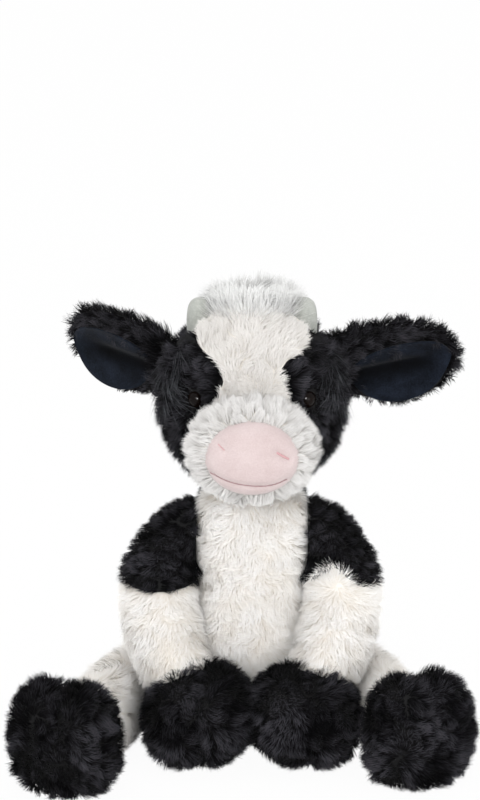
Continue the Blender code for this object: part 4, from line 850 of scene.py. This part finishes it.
# The profile, as radius and height along the axis: the dome, its turned rim, and the shank to its rounded end.
EYE_PROFILE = np.concatenate([np.stack([BEAD_RADIUS * np.sin(a), BEAD_HIGH * np.cos(a)], 1),
                              [(4.45, -0.35), (3.9, -0.5), (SHANK_RADIUS, -0.55),
                               (SHANK_RADIUS, 0.4 - SHANK_LONG), (1.1, -SHANK_LONG)]])
for word, side in SIDES:
    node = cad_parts["eye_" + word]
    points = np.empty(len(node.data.vertices) * 3)
    node.data.vertices.foreach_get("co", points)
    points = points.reshape(-1, 3) / MM
    one = points[np.linalg.norm(points - points.mean(0), axis=1).argmax()]
    two = points[np.linalg.norm(points - one, axis=1).argmax()]
    tip, shank_end = (one, two) if one[1] < two[1] else (two, one)
    axis = unit(tip - shank_end)
    seat = shank_end + axis * SHANK_LONG
    across = unit(np.cross(axis, Z))
    upward = np.cross(across, axis)
    u = full_turn(48)[None, :, None]
    away, along = EYE_PROFILE[:, None, :1], EYE_PROFILE[:, None, 1:]
    grid = seat + axis * along + away * (across * np.cos(u) + upward * np.sin(u))
    dress("eye_bead_" + word, grid, eye_acrylic, "head", "eye_" + word)
    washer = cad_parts["eye_washer_" + word].data.materials
    washer.clear()
    washer.append(washer_plastic)
    print("eye", word, "at", np.round(seat, 1), "facing", np.round(axis, 2))

# %% [markdown]
# ## Head filling
# The filling is the head's form, smaller by the fabric, pushed in where the neck's ball and the eye washers are.

# %% Head filling
head_fill = head_form(full_turn(72)[None], np.linspace(0.03, 0.985, 48)[:, None], FILL_INSET)
head_fill[..., 2] = np.clip(head_fill[..., 2], HEAD_LOW + FILL_INSET, HEAD_LOW + HEAD_TALL - FILL_INSET)
from_ball = head_fill - NECK_MIDDLE
reach = np.linalg.norm(from_ball, axis=-1, keepdims=True)
head_fill = np.where(reach < NECK_ROOM, NECK_MIDDLE + unit(from_ball) * NECK_ROOM, head_fill)
WASHER_AT, HEAD_MIDDLE, WASHER_DENT, WASHER_ROOM = (27.5, -34.0, 194.4), (0.0, HEAD_Y, 194.0), 4.6, 8.5
for _, side in SIDES:
    washer = WASHER_AT * np.array([side, 1.0, 1.0])
    away = np.linalg.norm(head_fill - washer, axis=-1, keepdims=True)
    inward = unit(HEAD_MIDDLE - washer)
    head_fill = head_fill + inward * WASHER_DENT * np.exp(-(away / WASHER_ROOM) ** 4)
dress("head_filling", head_fill, fibre_fill, "head", "head_stuffing")
print("head filling from z", round(head_fill[..., 2].min(), 1), "to", round(head_fill[..., 2].max(), 1))

# %% [markdown]
# ## Horns and forelock
# The horns are short stuffed cones in grey velour with a seam up the outside. They are profiles turned about a
# leaning axis. Between them stands a tuft of long straight hair, sewn into the crown.

# %% Horns
HORN_PROFILE = [(0.0, 1.06), (0.30, 1.06), (0.62, 1.00), (0.82, 0.88), (0.93, 0.66), (0.985, 0.34), (1.0, 0.0)]
HORN_LEAN, HORN_RADIUS, HORN_LONG, HORN_ROOT_X, HORN_ROOT_Z, HORN_FOOT_Z = 5.0, 8.3, 32.4, 25.2, 209.0, 212.0
for word, side in SIDES:
    lean = math.radians(HORN_LEAN) * side
    axis = np.array([math.sin(lean), 0.0, math.cos(lean)])
    across = np.array([math.cos(lean), 0.0, -math.sin(lean)])
    height, radius = columns(HORN_PROFILE, np.linspace(0.06, 0.99, 40))
    u = full_turn(56)
    seam = 1.0 - 0.07 * np.exp(-((np.cos(u - math.pi * (side < 0)) - 1.0) / 0.012) ** 2)
    spread = (HORN_RADIUS * radius)[:, None] * seam
    root = np.array([side * HORN_ROOT_X, 0.0, HORN_ROOT_Z])
    grid = (root + axis * (HORN_LONG * height)[:, None, None] + across * (spread * np.cos(u))[..., None]
            + Y * (spread * np.sin(u))[..., None])
    grid = grid[grid[..., 2].min(1) > HORN_FOOT_Z]
    dress("horn_skin_" + word, grid, horn_velour, "head", "horn_" + word)
    print(word, "horn's tip at z", round(grid[..., 2].max(), 1))

# %% Forelock
FORELOCK_ROWS = [(0.0, 0.0), (0.05, 0.90), (0.35, 1.00), (0.65, 1.00), (0.88, 0.72), (0.97, 0.40), (1.0, 0.0)]
FORELOCK_WIDE, FORELOCK_DEEP, FORELOCK_LOW, FORELOCK_TALL = 19.5, 18.5, 226.0, 14.5
rise, size = columns(FORELOCK_ROWS, np.linspace(0.16, 0.97, 26)[:, None])
u = full_turn(48)[None]
forelock_grid = stacked(FORELOCK_WIDE * size * np.cos(u), FORELOCK_DEEP * size * np.sin(u),
                        FORELOCK_LOW + FORELOCK_TALL * rise)
forelock = dress("forelock_core", forelock_grid, white_backing, "head", "forelock")


def brushed_up(points):
    """Up and fanned outwards from the crown's middle, the more the nearer a root is to the rim."""
    return Z + points * [0.046, 0.03, 0.0] + X * 0.06


LONG_STRAIGHT = dict(density=390, clump=8.0, length=16.0, width=0.42, rise=42, settle=18, curl=0.15, stray=0.14,
                     jitter=0.12, whorl=0.0, pull=0.06, puff=0.0, sway=0.2, soft=0.35, patch=0.0, sections=4)
grow("forelock_hair", forelock, forelock_grid, brushed_up, LONG_STRAIGHT, pale_hair)

# %% [markdown]
# ## Ears
# An ear is two pieces of cloth sewn round their edge: shaggy black fur behind and navy velour in front. Its
# section is a flat ellipse whose edges curl forward, and it is carried outwards from the root in the head's side.

# %% Ear form
EAR_LONG, EAR_HALF_CHORD = 66.0, 23.0
EAR_ROWS = [(-5.8, 0.0, 0.0, 0.0), (-4.9, 15.5, 3.05, 0.0), (-2.9, 15.5, 5.02, 0.0)] + [
    (EAR_LONG * along, EAR_HALF_CHORD * wide, 5.6 * thick, 6.0 * cup) for along, wide, thick, cup in (
        (0.02, 0.76, 0.98, 0.00), (0.18, 0.88, 1.00, 0.25), (0.40, 1.03, 1.00, 0.80), (0.62, 1.02, 0.92, 1.00),
        (0.80, 0.80, 0.78, 0.85), (0.93, 0.44, 0.52, 0.45))] + [(EAR_LONG, 0.0, 0.0, 0.2)]
LINING_ROWS = np.array([(5.0, 0.0, 0.0), (12.0, 12.0, 1.2), (26.4, 18.2, 3.3), (41.5, 18.6, 3.7),
                        (55.5, 13.8, 2.8), (62.5, 0.0, 1.5)])
# The curl of the ear's edges as the fur's limit reads it, and the way along at which the lining doesn't tilt.
EDGE_CURL = ((0.0, 12.0, 26.4, 41.0, 53.0, 66.0), (0.0, 1.5, 4.8, 6.0, 5.1, 1.2))
LINING_MIDDLE = 34.0


def ear_frame(side, rise_deg, sweep_deg):
    """Pivot, outward, chord and facing directions, as the joint of the ear has them."""
    rise, sweep, roll = math.radians(rise_deg), math.radians(sweep_deg), math.radians(18.0)
    out = unit(np.array([side * math.cos(rise) * math.cos(sweep), math.sin(sweep), math.sin(rise)]))
    facing = np.array([0.0, -math.cos(roll), -math.sin(roll)])
    facing = unit(facing - out * (facing @ out))
    return np.array([side * 45.3, 2.0, 204.0]), out, np.cross(facing, out) * side, facing


def ear_form(u, v, place):
    """Half chord times cosine, half thickness times sine, less in front where the lining lies, and an edge curl
    that grows with the square of the share across the chord."""
    pivot, out, chord, facing = place
    along, wide, thick, cup = columns(EAR_ROWS, v)
    c, s = np.cos(u), np.sin(u)
    thick = thick * np.where(s > 0, 0.5, 1.0)
    return (pivot + out * np.broadcast_arrays(along, c)[0][..., None] + chord * (wide * c)[..., None]
            + facing * (thick * s + cup * c * c)[..., None])


def lining_form(u, v, place, deep, tilt):
    """A thin cushion on the ear's front: a narrower ear form that reaches nearer to the lower edge and tilts
    towards the tip, with a fold down its middle, a dent that is a bell curve of the distance from the middle."""
    pivot, out, chord, facing = place
    along, wide, cup = columns(LINING_ROWS, v)
    c, s = np.cos(u), np.sin(u)
    fold = (deep * np.exp(-((wide * c + 1.0) / 4.0) ** 2) * np.clip(s * 2.0, 0.0, 1.0)
            * np.clip((56.0 - along) / 20.0, 0.0, 1.0))
    wide = wide * (0.98 - 0.26 * c)
    lift = 4.7 + 1.5 * np.sign(s) * np.abs(s) ** 0.8 * np.clip(wide / 6.0, 0.0, 1.0) + cup * c * c - fold
    across = wide * c + tilt * (along - LINING_MIDDLE)
    return (pivot + out * np.broadcast_arrays(along, c)[0][..., None] + chord * across[..., None]
            + facing * lift[..., None])


ears = {"left": ear_frame(1.0, 5.0, 4.0), "right": ear_frame(-1.0, 9.0, 36.0)}
EAR_SHAG = dict(SHAGGY, length=7.8, rise=44, settle=10, clump=5.0)
for word, side in SIDES:
    place = ears[word]
    pivot, out, chord, facing = place
    grid = ear_form(full_turn(64)[None], np.linspace(0.06, 0.985, 44)[:, None], place)
    back = dress("ear_back_skin_" + word, grid, black_backing, "ear_" + word, "ear_back_" + word)
    deep, tilt = (2.8, 0.13) if side > 0 else (2.2, 0.0)
    lining = lining_form(full_turn(96)[None], np.linspace(0.02, 0.98, 48)[:, None], place, deep, tilt)
    skin = dress("ear_lining_skin_" + word, lining, ear_velour, "ear_" + word, "ear_lining_" + word)
    from_pivot = lining - pivot
    across = (from_pivot @ chord) - tilt * (from_pivot @ out - LINING_MIDDLE)
    # Painted shade: a share from 0 to 1 that peaks down the lining's middle fold and fades towards the tip; the navy
    # velour is darkened by it.
    fold_shade_share = np.exp(-((across + 2.0) / 7.0) ** 2) * np.clip((60.0 - from_pivot @ out) / 16.0, 0.0, 1.0)
    fold_shade_share = np.append(fold_shade_share.ravel(), [1.0, 0.0])
    skin.data.attributes.new("painted_fold_shade", "FLOAT", "POINT").data.foreach_set("value", fold_shade_share)

    def combed_out(points, out=out, facing=facing, chord=chord, pivot=pivot):
        """Towards the tip, away from the middle line, and to the back."""
        across = ((points - pivot) @ chord)[:, None] / 20.0
        return out * 0.8 + chord * across * 0.9 - facing * 0.2

    def not_on_lining(points, out=out, facing=facing, chord=chord, pivot=pivot, tilt=tilt):
        """All of the back and the rim, and of the front only what the lining leaves, with more at the top."""
        from_pivot = points - pivot
        along, across, ahead = from_pivot @ out, from_pivot @ chord, from_pivot @ facing
        limit = np.interp(along, LINING_ROWS[:, 0], LINING_ROWS[:, 1])
        front = ahead > np.interp(along, *EDGE_CURL) * (across / EAR_HALF_CHORD) ** 2 + 0.5
        across = across - tilt * (along - LINING_MIDDLE)
        return 1.0 - front * (across > -1.3 * limit) * (across < 0.5 * limit)

    def shorter_below(points, side=side, chord=chord, pivot=pivot):
        """The lower edge has shorter fur, shortest on the right ear, where the lining shows up to the edge."""
        low = np.clip(-0.4 - (points - pivot) @ chord / 18.0, 0.0, 0.6) / 0.6
        return 1.0 - low * (0.3 if side > 0 else 0.6)

    grow("ear_back_fur_" + word, back, grid, combed_out, EAR_SHAG, black_pile, where=not_on_lining,
         trim=shorter_below)
print("ear pivots", [np.round(ears[word][0], 1).tolist() for word, _ in SIDES])

# %% [markdown]
# From each ear's seam a lock of long dark hair hangs down the side of the face. It lies on the head, so it rides
# there. Its core is a flat tube along the head's side, and the hair runs along it.

# %% Bent tubes


def bent_form(rows, keep):
    """A form whose rows are x, y, z, half size along keep and half size across it, carried square to the path."""
    def form(u, v):
        middle = carried(rows, v)
        before, after = (carried(rows, np.clip(v + step, 0, 1))[..., :3] for step in (-0.004, 0.004))
        ahead = unit(after - before)
        held = unit(keep - ahead * (ahead @ keep)[..., None])
        other = np.cross(ahead, held)
        return (middle[..., :3] + held * middle[..., 3:4] * np.cos(u)[..., None]
                + other * middle[..., 4:5] * np.sin(u)[..., None])
    return form


print("bent tubes ready")

# %% Hair at the ears
WISP = dict(density=75, clump=6.0, length=17.0, width=0.4, rise=26, settle=0, curl=0.4, stray=0.35, jitter=0.22,
            whorl=0.0, pull=0.25, puff=0.0, sway=0.2, soft=0.2, patch=0.2, sections=5)
EAR_HAIR = ((0.615, 0.250, 0.000, 0.66, 0.90), (0.780, 0.295, 0.217, 1.00, 1.00), (0.890, 0.352, 0.457, 1.00, 1.00),
            (0.945, 0.420, 0.674, 0.84, 0.86), (0.956, 0.489, 0.870, 0.52, 0.60))
HAIR_TOP, HAIR_LONG, HAIR_HALF_WIDE, HAIR_HALF_THICK, HAIR_TURN = 228.0, 45.95, 8.0, 4.2, math.radians(27.0)
HAIR_FROM_Z = 219.0
# How far from the head's axis the hair's inner face is, at some heights.
HAIR_INSIDE = ((182, 200, 215, 228), (43, 41.5, 36, 28))
for word, side in SIDES:
    flat = np.array([side * math.sin(HAIR_TURN), math.cos(HAIR_TURN), 0.0])
    rows = [(side * HEAD_WIDE * out, HEAD_Y - HEAD_DEEP * front, HAIR_TOP - HAIR_LONG * down, HAIR_HALF_WIDE * wide,
             HAIR_HALF_THICK * thick) for out, front, down, wide, thick in EAR_HAIR]
    grid = bent_form(rows, flat)(full_turn(32)[None], np.linspace(0.12, 0.96, 28)[:, None])
    core = dress("ear_hair_core_" + word, grid, black_backing, "head", "ear_hair_" + word)

    def combed_hanging(points, side=side):
        """Down the side of the face and a little forward; the hair of the left ear sweeps in towards the cheek."""
        return -Z * (0.8 if side > 0 else 1.0) - X * (0.5 if side > 0 else -0.1) - Y * 0.3

    def off_head(points):
        """Only on the outer face, not where the core sinks into the head."""
        away = np.linalg.norm((points - [0.0, HEAD_Y, 0.0]) * [1.0, 1.0, 0.0], axis=-1)
        return 1.0 * (away > np.interp(points[..., 2], *HAIR_INSIDE)) * (points[..., 2] < HAIR_FROM_Z)

    grow("ear_hair_" + word + "_undercoat", core, grid, combed_back, SHAGGY, black_pile, where=off_head)
    grow("ear_hair_" + word + "_strands", core, grid, combed_hanging, WISP, grey_hair, where=off_head)

# %% [markdown]
# ## Arms and fore hooves
# An arm is one bent tube from a flat shoulder seam, forward and down to the hoof: black above the elbow seam
# and white below. The tube's sections are ellipses square to a smooth path. The path is cut by the shoulder
# seam's plane, the level elbow seam and the hoof, each found as the place where a measure passes zero.

# %% Hooves


def hoof_form(place, halves):
    """Superellipse shares along the toe give each ring's size. Towards the toe the middle is drawn in by a bell
    curve, which is the cleft, and the two sides reach on past it as toes."""
    centre, across, through, toe = place

    def form(u, share):
        size = (1.0 - np.abs(share) ** 2.5) ** (1.0 / 2.5)
        cleft = np.clip(share + 0.1, 0.0, None) / 1.1
        c, s = np.cos(u), np.sin(u)
        lateral = np.abs(c)
        dent = (0.34 * np.exp(-(lateral / 0.36) ** 2) + 0.16 * np.exp(-(lateral / 0.12) ** 2)) * cleft
        reach = share + 0.10 * cleft * lateral - 0.22 * cleft * (1.0 - size) ** 2
        return (centre + across * (halves[0] * size * c)[..., None]
                + through * (halves[1] * size * s * (1.0 - dent))[..., None]
                + toe * (halves[2] * reach)[..., None])
    return form


def limb_form(rows, keep, side):
    """A bent tube that starts 15 mm inside the trunk's side, for the seat's plane to cut."""
    (x, *rest) = rows[0]
    return bent_form([(x - side * inside, *rest) for inside in (15.0, 10.0)] + rows, keep)


def inside_hoof(place, halves):
    """A measure that is positive inside the hoof: one less the sum of the shares to the power 2.3."""
    centre, across, through, toe = place

    def measure(points):
        away = points - centre
        return 1.0 - sum(np.abs(away @ d / h) ** 2.3 for d, h in zip((across, through, toe), halves))
    return measure


print("hoof form ready")

# %% Arms and fore hooves
ARM_SHARES = ((0.00, 0.00, 0.00, 1.00, 1.00), (0.62, 0.05, 0.12, 0.92, 1.04), (0.98, 0.24, 0.35, 1.00, 1.06),
              (1.00, 0.51, 0.59, 1.01, 1.02), (0.76, 0.76, 0.79, 0.93, 0.93), (0.45, 1.00, 0.98, 0.85, 0.85),
              (0.22, 1.13, 1.08, 0.78, 0.78))
ARM_SEAT_X, ARM_TOP_Z, ELBOW_Z = 30.31, 109.0, 87.04
ARM_REACH_Y, ARM_DROP, ARM_HALF = 48.0, 65.39, 18.9
FORE_HALVES, FORE_TOE_TURN, FORE_X, FORE_Y, FORE_Z = (27.2, 26.0, 24.0), math.radians(6.0), 27.0, -60.5, 25.2
FORE_DRAWN_UP = 12.0
u_limb = full_turn(72)
# The hooves' strong patch paints broad sheen across their black pile.
HOOF_SHAG = dict(SHAGGY, density=235, length=7.4, clump=6.2, width=0.5, stray=0.5, sway=1.3, pull=0.42, puff=1.6,
                 soft=0.3, patch=0.5)
ARM_CURLY = dict(CURLY, density=240, length=7.2, clump=6.5, width=0.42, whorl=0.1, curl=0.4, sway=0.45, soft=0.78)
# Shares of the hoof's half length, closer together towards both ends.
HOOF_ROWS = np.sin(np.linspace(-0.5, 0.5, 56) * math.pi * 0.985)[:, None]


def combed_along(a, b, spread=0.0):
    """From a towards b, with a little spread to the sides."""
    heading = unit(np.asarray(b, float) - a)
    return lambda points: heading + unit(points - (np.asarray(a) + b) / 2.0) * spread


def combed_from_cleft(place):
    """Towards the toe and down, and a little away from the cleft to both sides."""
    centre, across, through, toe = place

    def comb(points):
        lateral = ((points - centre) @ across)[:, None]
        return toe * 0.5 + across * np.clip(lateral / 20.0, -1.0, 1.0) * 0.5 + X * 0.35 - Z * 0.45
    return comb


for word, side in SIDES:
    reach_out = 18.5 if side > 0 else 20.5
    form = limb_form([(side * (ARM_SEAT_X + reach_out * out), -ARM_REACH_Y * front, ARM_TOP_Z - ARM_DROP * down,
                       ARM_HALF * deep, ARM_HALF * wide) for out, front, down, wide, deep in ARM_SHARES], Y, side)
    toe = np.array([side * math.sin(FORE_TOE_TURN), -math.cos(FORE_TOE_TURN), 0.0])
    place = (np.array([side * FORE_X, FORE_Y, FORE_Z]), np.cross(toe, Z), Z, toe)
    # The left elbow seam rises in a dome over the arm's front: a bell curve of x, round 44 mm.
    dome = 11.0 if side > 0 else 0.0
    elbow = crossing(form, u_limb, lambda p: ELBOW_Z + dome * np.exp(-((p[..., 0] - 44.0) / 10.0) ** 2)
                     * np.clip(-p[..., 1] / 12.0, 0.0, 1.0) - p[..., 2])
    seat = np.minimum(crossing(form, u_limb, lambda p: side * p[..., 0] - ARM_SEAT_X), elbow - 0.03)
    wrist = crossing(form, u_limb, inside_hoof(place, FORE_HALVES), low=0.5)
    upper_grid = between(form, u_limb, seat, elbow - 0.002, 34)
    lower_grid = between(form, u_limb, elbow + 0.002, wrist, 44)
    arm = "arm_" + word
    upper = dress("upper_arm_skin_" + word, upper_grid, black_backing, arm, "upper_arm_" + word)
    lower = dress("foreleg_skin_" + word, lower_grid, white_backing, arm, "foreleg_" + word)
    hoof_grid = hoof_form(place, FORE_HALVES)(u_limb[None], HOOF_ROWS)
    # The lower inner quarter is drawn up, the more the nearer it is to the middle line and the floor.
    inner = np.clip(1.0 - side * hoof_grid[..., 0] / FORE_X, 0.0, 1.0)
    hoof_grid[..., 2] += FORE_DRAWN_UP * inner * np.clip(1.0 - hoof_grid[..., 2] / FORE_Z, 0.0, 1.0)
    hoof_grid = on_floor(hoof_grid)
    hoof = dress("fore_hoof_skin_" + word, hoof_grid, black_backing, arm, "fore_hoof_" + word)
    grow("upper_arm_fur_" + word, upper, upper_grid, combed_along((0, 0, 1), (side * 0.1, -0.35, 0), 0.15), SHAGGY,
         black_pile)
    fan = np.array([side * 46.0, -34.0, 84.0 if side > 0 else 96.0])
    reach = inside_hoof(place, FORE_HALVES)

    def fanned(points, fan=fan):
        """Away from the fan's middle, less the nearer to it a root is, and down."""
        away = points - fan
        return away / np.maximum(np.linalg.norm(away, axis=1, keepdims=True), 16.0) - Z * 0.4

    grow("foreleg_fur_" + word, lower, lower_grid, fanned, ARM_CURLY, white_pile,
         trim=lambda points, reach=reach: np.clip(-reach(points) / 0.7, 0.3, 1.0))
    grow("fore_hoof_fur_" + word, hoof, hoof_grid, combed_from_cleft(place), HOOF_SHAG, black_pile)
    print(word, "arm seams at v", round(float(elbow.mean()), 2), round(float(wrist.mean()), 2))

# %% [markdown]
# ## Hind legs and hooves
# The hind legs lie forward on the floor, and their hooves stand upright on their heels with the soles to the
# front. They are bent tubes and hooves again, with the hoof's toe pointing up.

# %% Hind legs and hooves
LEG_SHARES = ((0.00, 0.00, 1.00, 1.00), (0.39, 0.06, 0.83, 0.93), (0.63, 0.25, 0.75, 0.86),
              (0.72, 0.50, 0.74, 0.86), (0.86, 0.74, 0.74, 0.83), (1.00, 1.00, 0.74, 0.82))
LEG_SEAT_X, LEG_ROOT_Y, LEG_ROOT = 38.3, 4.0, 23.0
HIND_HALVES, HIND_Z = (26.0, 18.5, 28.5), 27.2
for word, side in SIDES:
    spread, reach = (49.0, 90.0) if side > 0 else (59.0, 101.0)
    rows = [(side * (LEG_SEAT_X + spread * out), LEG_ROOT_Y - reach * front, LEG_ROOT * high + 1.0, LEG_ROOT * high,
             LEG_ROOT * wide) for out, front, wide, high in LEG_SHARES]
    form = limb_form(rows, Z, side)
    ahead = unit(np.array(rows[-1][:3]) - rows[-2][:3])
    flat = unit(ahead * [1.0, 1.0, 0.0])
    place = (np.array([*rows[-1][:2], HIND_Z]), np.cross(flat, Z), flat, Z)
    seat = crossing(form, u_limb, lambda p: side * p[..., 0] - LEG_SEAT_X)
    ankle = crossing(form, u_limb, inside_hoof(place, HIND_HALVES), low=0.5)
    leg_grid = on_floor(between(form, u_limb, seat, ankle, 70), 0.3)
    leg = dress("hind_leg_skin_" + word, leg_grid, white_backing, "leg_" + word, "hind_leg_" + word)
    hoof_grid = on_floor(hoof_form(place, HIND_HALVES)(u_limb[None], HOOF_ROWS))
    hoof = dress("hind_hoof_skin_" + word, hoof_grid, black_backing, "leg_" + word, "hind_hoof_" + word)

    def combed_over(points, side=side):
        """Out over the hip and down over both sides of the leg, and a little back."""
        share = np.clip(-points[:, 1:2] / 40.0, 0.0, 1.0)
        middle = side * (LEG_SEAT_X + 44.0 * share)
        return X * np.clip((points[:, :1] - middle) / 12.0, -1.0, 1.0) + Y * 0.3 - Z * 0.3

    grow("hind_leg_fur_" + word, leg, leg_grid, combed_over, dict(CURLY, density=165, width=0.52), white_pile)
    grow("hind_hoof_fur_" + word, hoof, hoof_grid, combed_from_cleft(place), HOOF_SHAG, black_pile)
    print(word, "hoof middle", np.round(place[0], 1).tolist())

# %% [markdown]
# ## Tail
# A thin furry cord with a darker tuft hangs behind. The photograph does not show it, but such a cow has one.

# %% Tail and tuft
TAIL_Y, TAIL_Z, TAIL_TRAIL, TAIL_LONG, TAIL_RADIUS = 49.7, 56.0, 10.0, 30.0, 4.0
TUFT_RADIUS, TUFT_Z, TUFT_LONG = 6.6, 28.5, 24.0
rows = [(0.0, TAIL_Y + TAIL_TRAIL * trail, TAIL_Z - TAIL_LONG * drop, TAIL_RADIUS * size, TAIL_RADIUS * size)
        for trail, drop, size in (
            (0.00, -0.09, 0.05), (0.00, -0.02, 0.90), (0.08, 0.15, 1.00), (0.60, 0.50, 1.00), (0.92, 0.88, 1.00),
            (1.00, 1.05, 0.80), (1.00, 1.11, 0.05))]
tail_grid = bent_form(rows, X)(full_turn(32)[None], np.linspace(0.03, 0.97, 36)[:, None])
tail = dress("tail_skin", tail_grid, white_backing, "tail", "tail")
TUFT_ROWS = [(0.0, 0.0), (0.06, 0.55), (0.30, 0.98), (0.60, 1.04), (0.85, 0.72), (1.0, 0.0)]
drop, size = columns(TUFT_ROWS, np.linspace(0.16, 0.97, 24)[:, None])
u = full_turn(32)[None]
tuft_grid = stacked(TUFT_RADIUS * size * np.cos(u), TAIL_Y + TAIL_TRAIL + TUFT_RADIUS * size * np.sin(u),
                    TUFT_Z - TUFT_LONG * drop)
tuft = dress("tail_tuft_core", tuft_grid, black_backing, "tail", "tail_tuft")
grow("tail_fur", tail, tail_grid, lambda points: -Z + 0.2 * Y, dict(SOFT, length=4.5, clump=4.0), white_pile)
grow("tail_tuft_fur", tuft, tuft_grid, lambda points: -Z,
     dict(SHAGGY, length=13.0, rise=30, settle=4, clump=4.0), black_pile)

# %% [markdown]
# ## Studio
# The toy was photographed from a little above in soft light on white. The floor is a pale sheet that runs out
# to a white world. Part of what the camera sees of the floor is plain white, which keeps it as bright as the
# background while the toy's shadow still shows on it.

# %% Floor and backdrop
floor_paint, tree, shader = new_material("white_studio_sheet", Roughness=0.9, Specular_IOR_Level=0.1)
shader.inputs["Base Color"].default_value = linear("#f6f6f6")
seen = add(tree, "LightPath").outputs["Is Camera Ray"]
plain = add(tree, "Emission", Strength=1.0)
mixed = add(tree, "MixShader", [("Fac", combined(tree, "MULTIPLY", seen, 0.96))])
tree.links.new(shader.outputs["BSDF"], mixed.inputs[1])
tree.links.new(plain.outputs["Emission"], mixed.inputs[2])
tree.links.new(mixed.outputs["Shader"], tree.nodes["Material Output"].inputs["Surface"])
extent = 6000.0
corners = [(-extent, -extent, 0.0), (extent, -extent, 0.0), (extent, extent, 0.0), (-extent, extent, 0.0)]
make_piece("studio_floor", corners, [(0, 1, 2, 3)], [], floor_paint)
world = bpy.data.worlds.new("studio")
bpy.context.scene.world = world
world.use_nodes = True
tree = world.node_tree
sky = tree.nodes["Background"]
sky.inputs["Color"].default_value = linear("#ffffff")
ray = add(tree, "LightPath").outputs
seen = combined(tree, "MAXIMUM", ray["Is Camera Ray"], ray["Is Glossy Ray"])
seen = combined(tree, "MAXIMUM", seen, ray["Is Transmission Ray"])
level = add(tree, "MapRange", [("Value", seen)], To_Min=0.92, To_Max=1.0)
tree.links.new(level.outputs["Result"], sky.inputs["Strength"])
print("floor and world ready")

# %% Lights


def soft_box(name, place, size, watts, gloss_only=False):
    """A square area lamp at a place in metres, turned to face the toy. One for gloss only is a catch light: it
    shows in polished faces and adds nothing to the rest."""
    lamp = bpy.data.lights.new(name, "AREA")
    lamp.energy, lamp.size = watts, size
    item = bpy.data.objects.new(name, lamp)
    item.location = place
    item.rotation_euler = (Vector((0.0, -0.03, 0.12)) - Vector(place)).to_track_quat("-Z", "Y").to_euler()
    item.visible_diffuse = not gloss_only
    bpy.context.scene.collection.objects.link(item)


soft_box("key_light", (-0.5, -1.6, 0.8), 0.8, 9.8)
soft_box("fill_light", (0.9, -1.5, 0.25), 0.9, 8.2)
soft_box("top_light", (0.0, -0.2, 1.7), 0.9, 3.5)
soft_box("catch_light", (-0.04, -1.25, 0.6), 0.36, 27.0, gloss_only=True)
print("soft boxes: key, fill, top and catch light")

# %% [markdown]
# The camera looks down at 17.5 degrees from 1.25 m. Its lens follows from the scale: 800 pixels of 0.54 mm at
# that distance, on a sensor 24 mm high. A small shift puts the toy where it stands in the photograph's frame.

# %% Camera
ELEVATION, DISTANCE, SCALE, SENSOR = math.radians(17.5), 1.25, 0.54, 24.0
WIDE, TALL = 480.0, 800.0
# The pixel column of the middle line and the pixel row of the floor below the seat, in the photograph.
MIDDLE_COLUMN, SEAT_ROW = 252.0, 726.0
target = Vector((0.0, -0.02, 0.12))
camera = bpy.data.objects.new("camera", bpy.data.cameras.new("camera"))
camera.data.sensor_fit = "VERTICAL"
camera.data.sensor_height = SENSOR
camera.data.lens = SENSOR * DISTANCE / (TALL * SCALE * MM)
camera.location = target + Vector((0.0, -math.cos(ELEVATION), math.sin(ELEVATION))) * DISTANCE
camera.rotation_euler = (math.pi / 2.0 - ELEVATION, 0.0, 0.0)
row = SEAT_ROW - (target.z * math.cos(ELEVATION) + target.y * math.sin(ELEVATION)) / (SCALE * MM)
camera.data.shift_x = (WIDE / 2.0 - MIDDLE_COLUMN) / TALL
camera.data.shift_y = (row - TALL / 2.0) / TALL
bpy.context.scene.collection.objects.link(camera)
bpy.context.scene.camera = camera
bpy.context.scene.view_settings.view_transform = "Standard"
print("lens, mm:", round(camera.data.lens, 1))
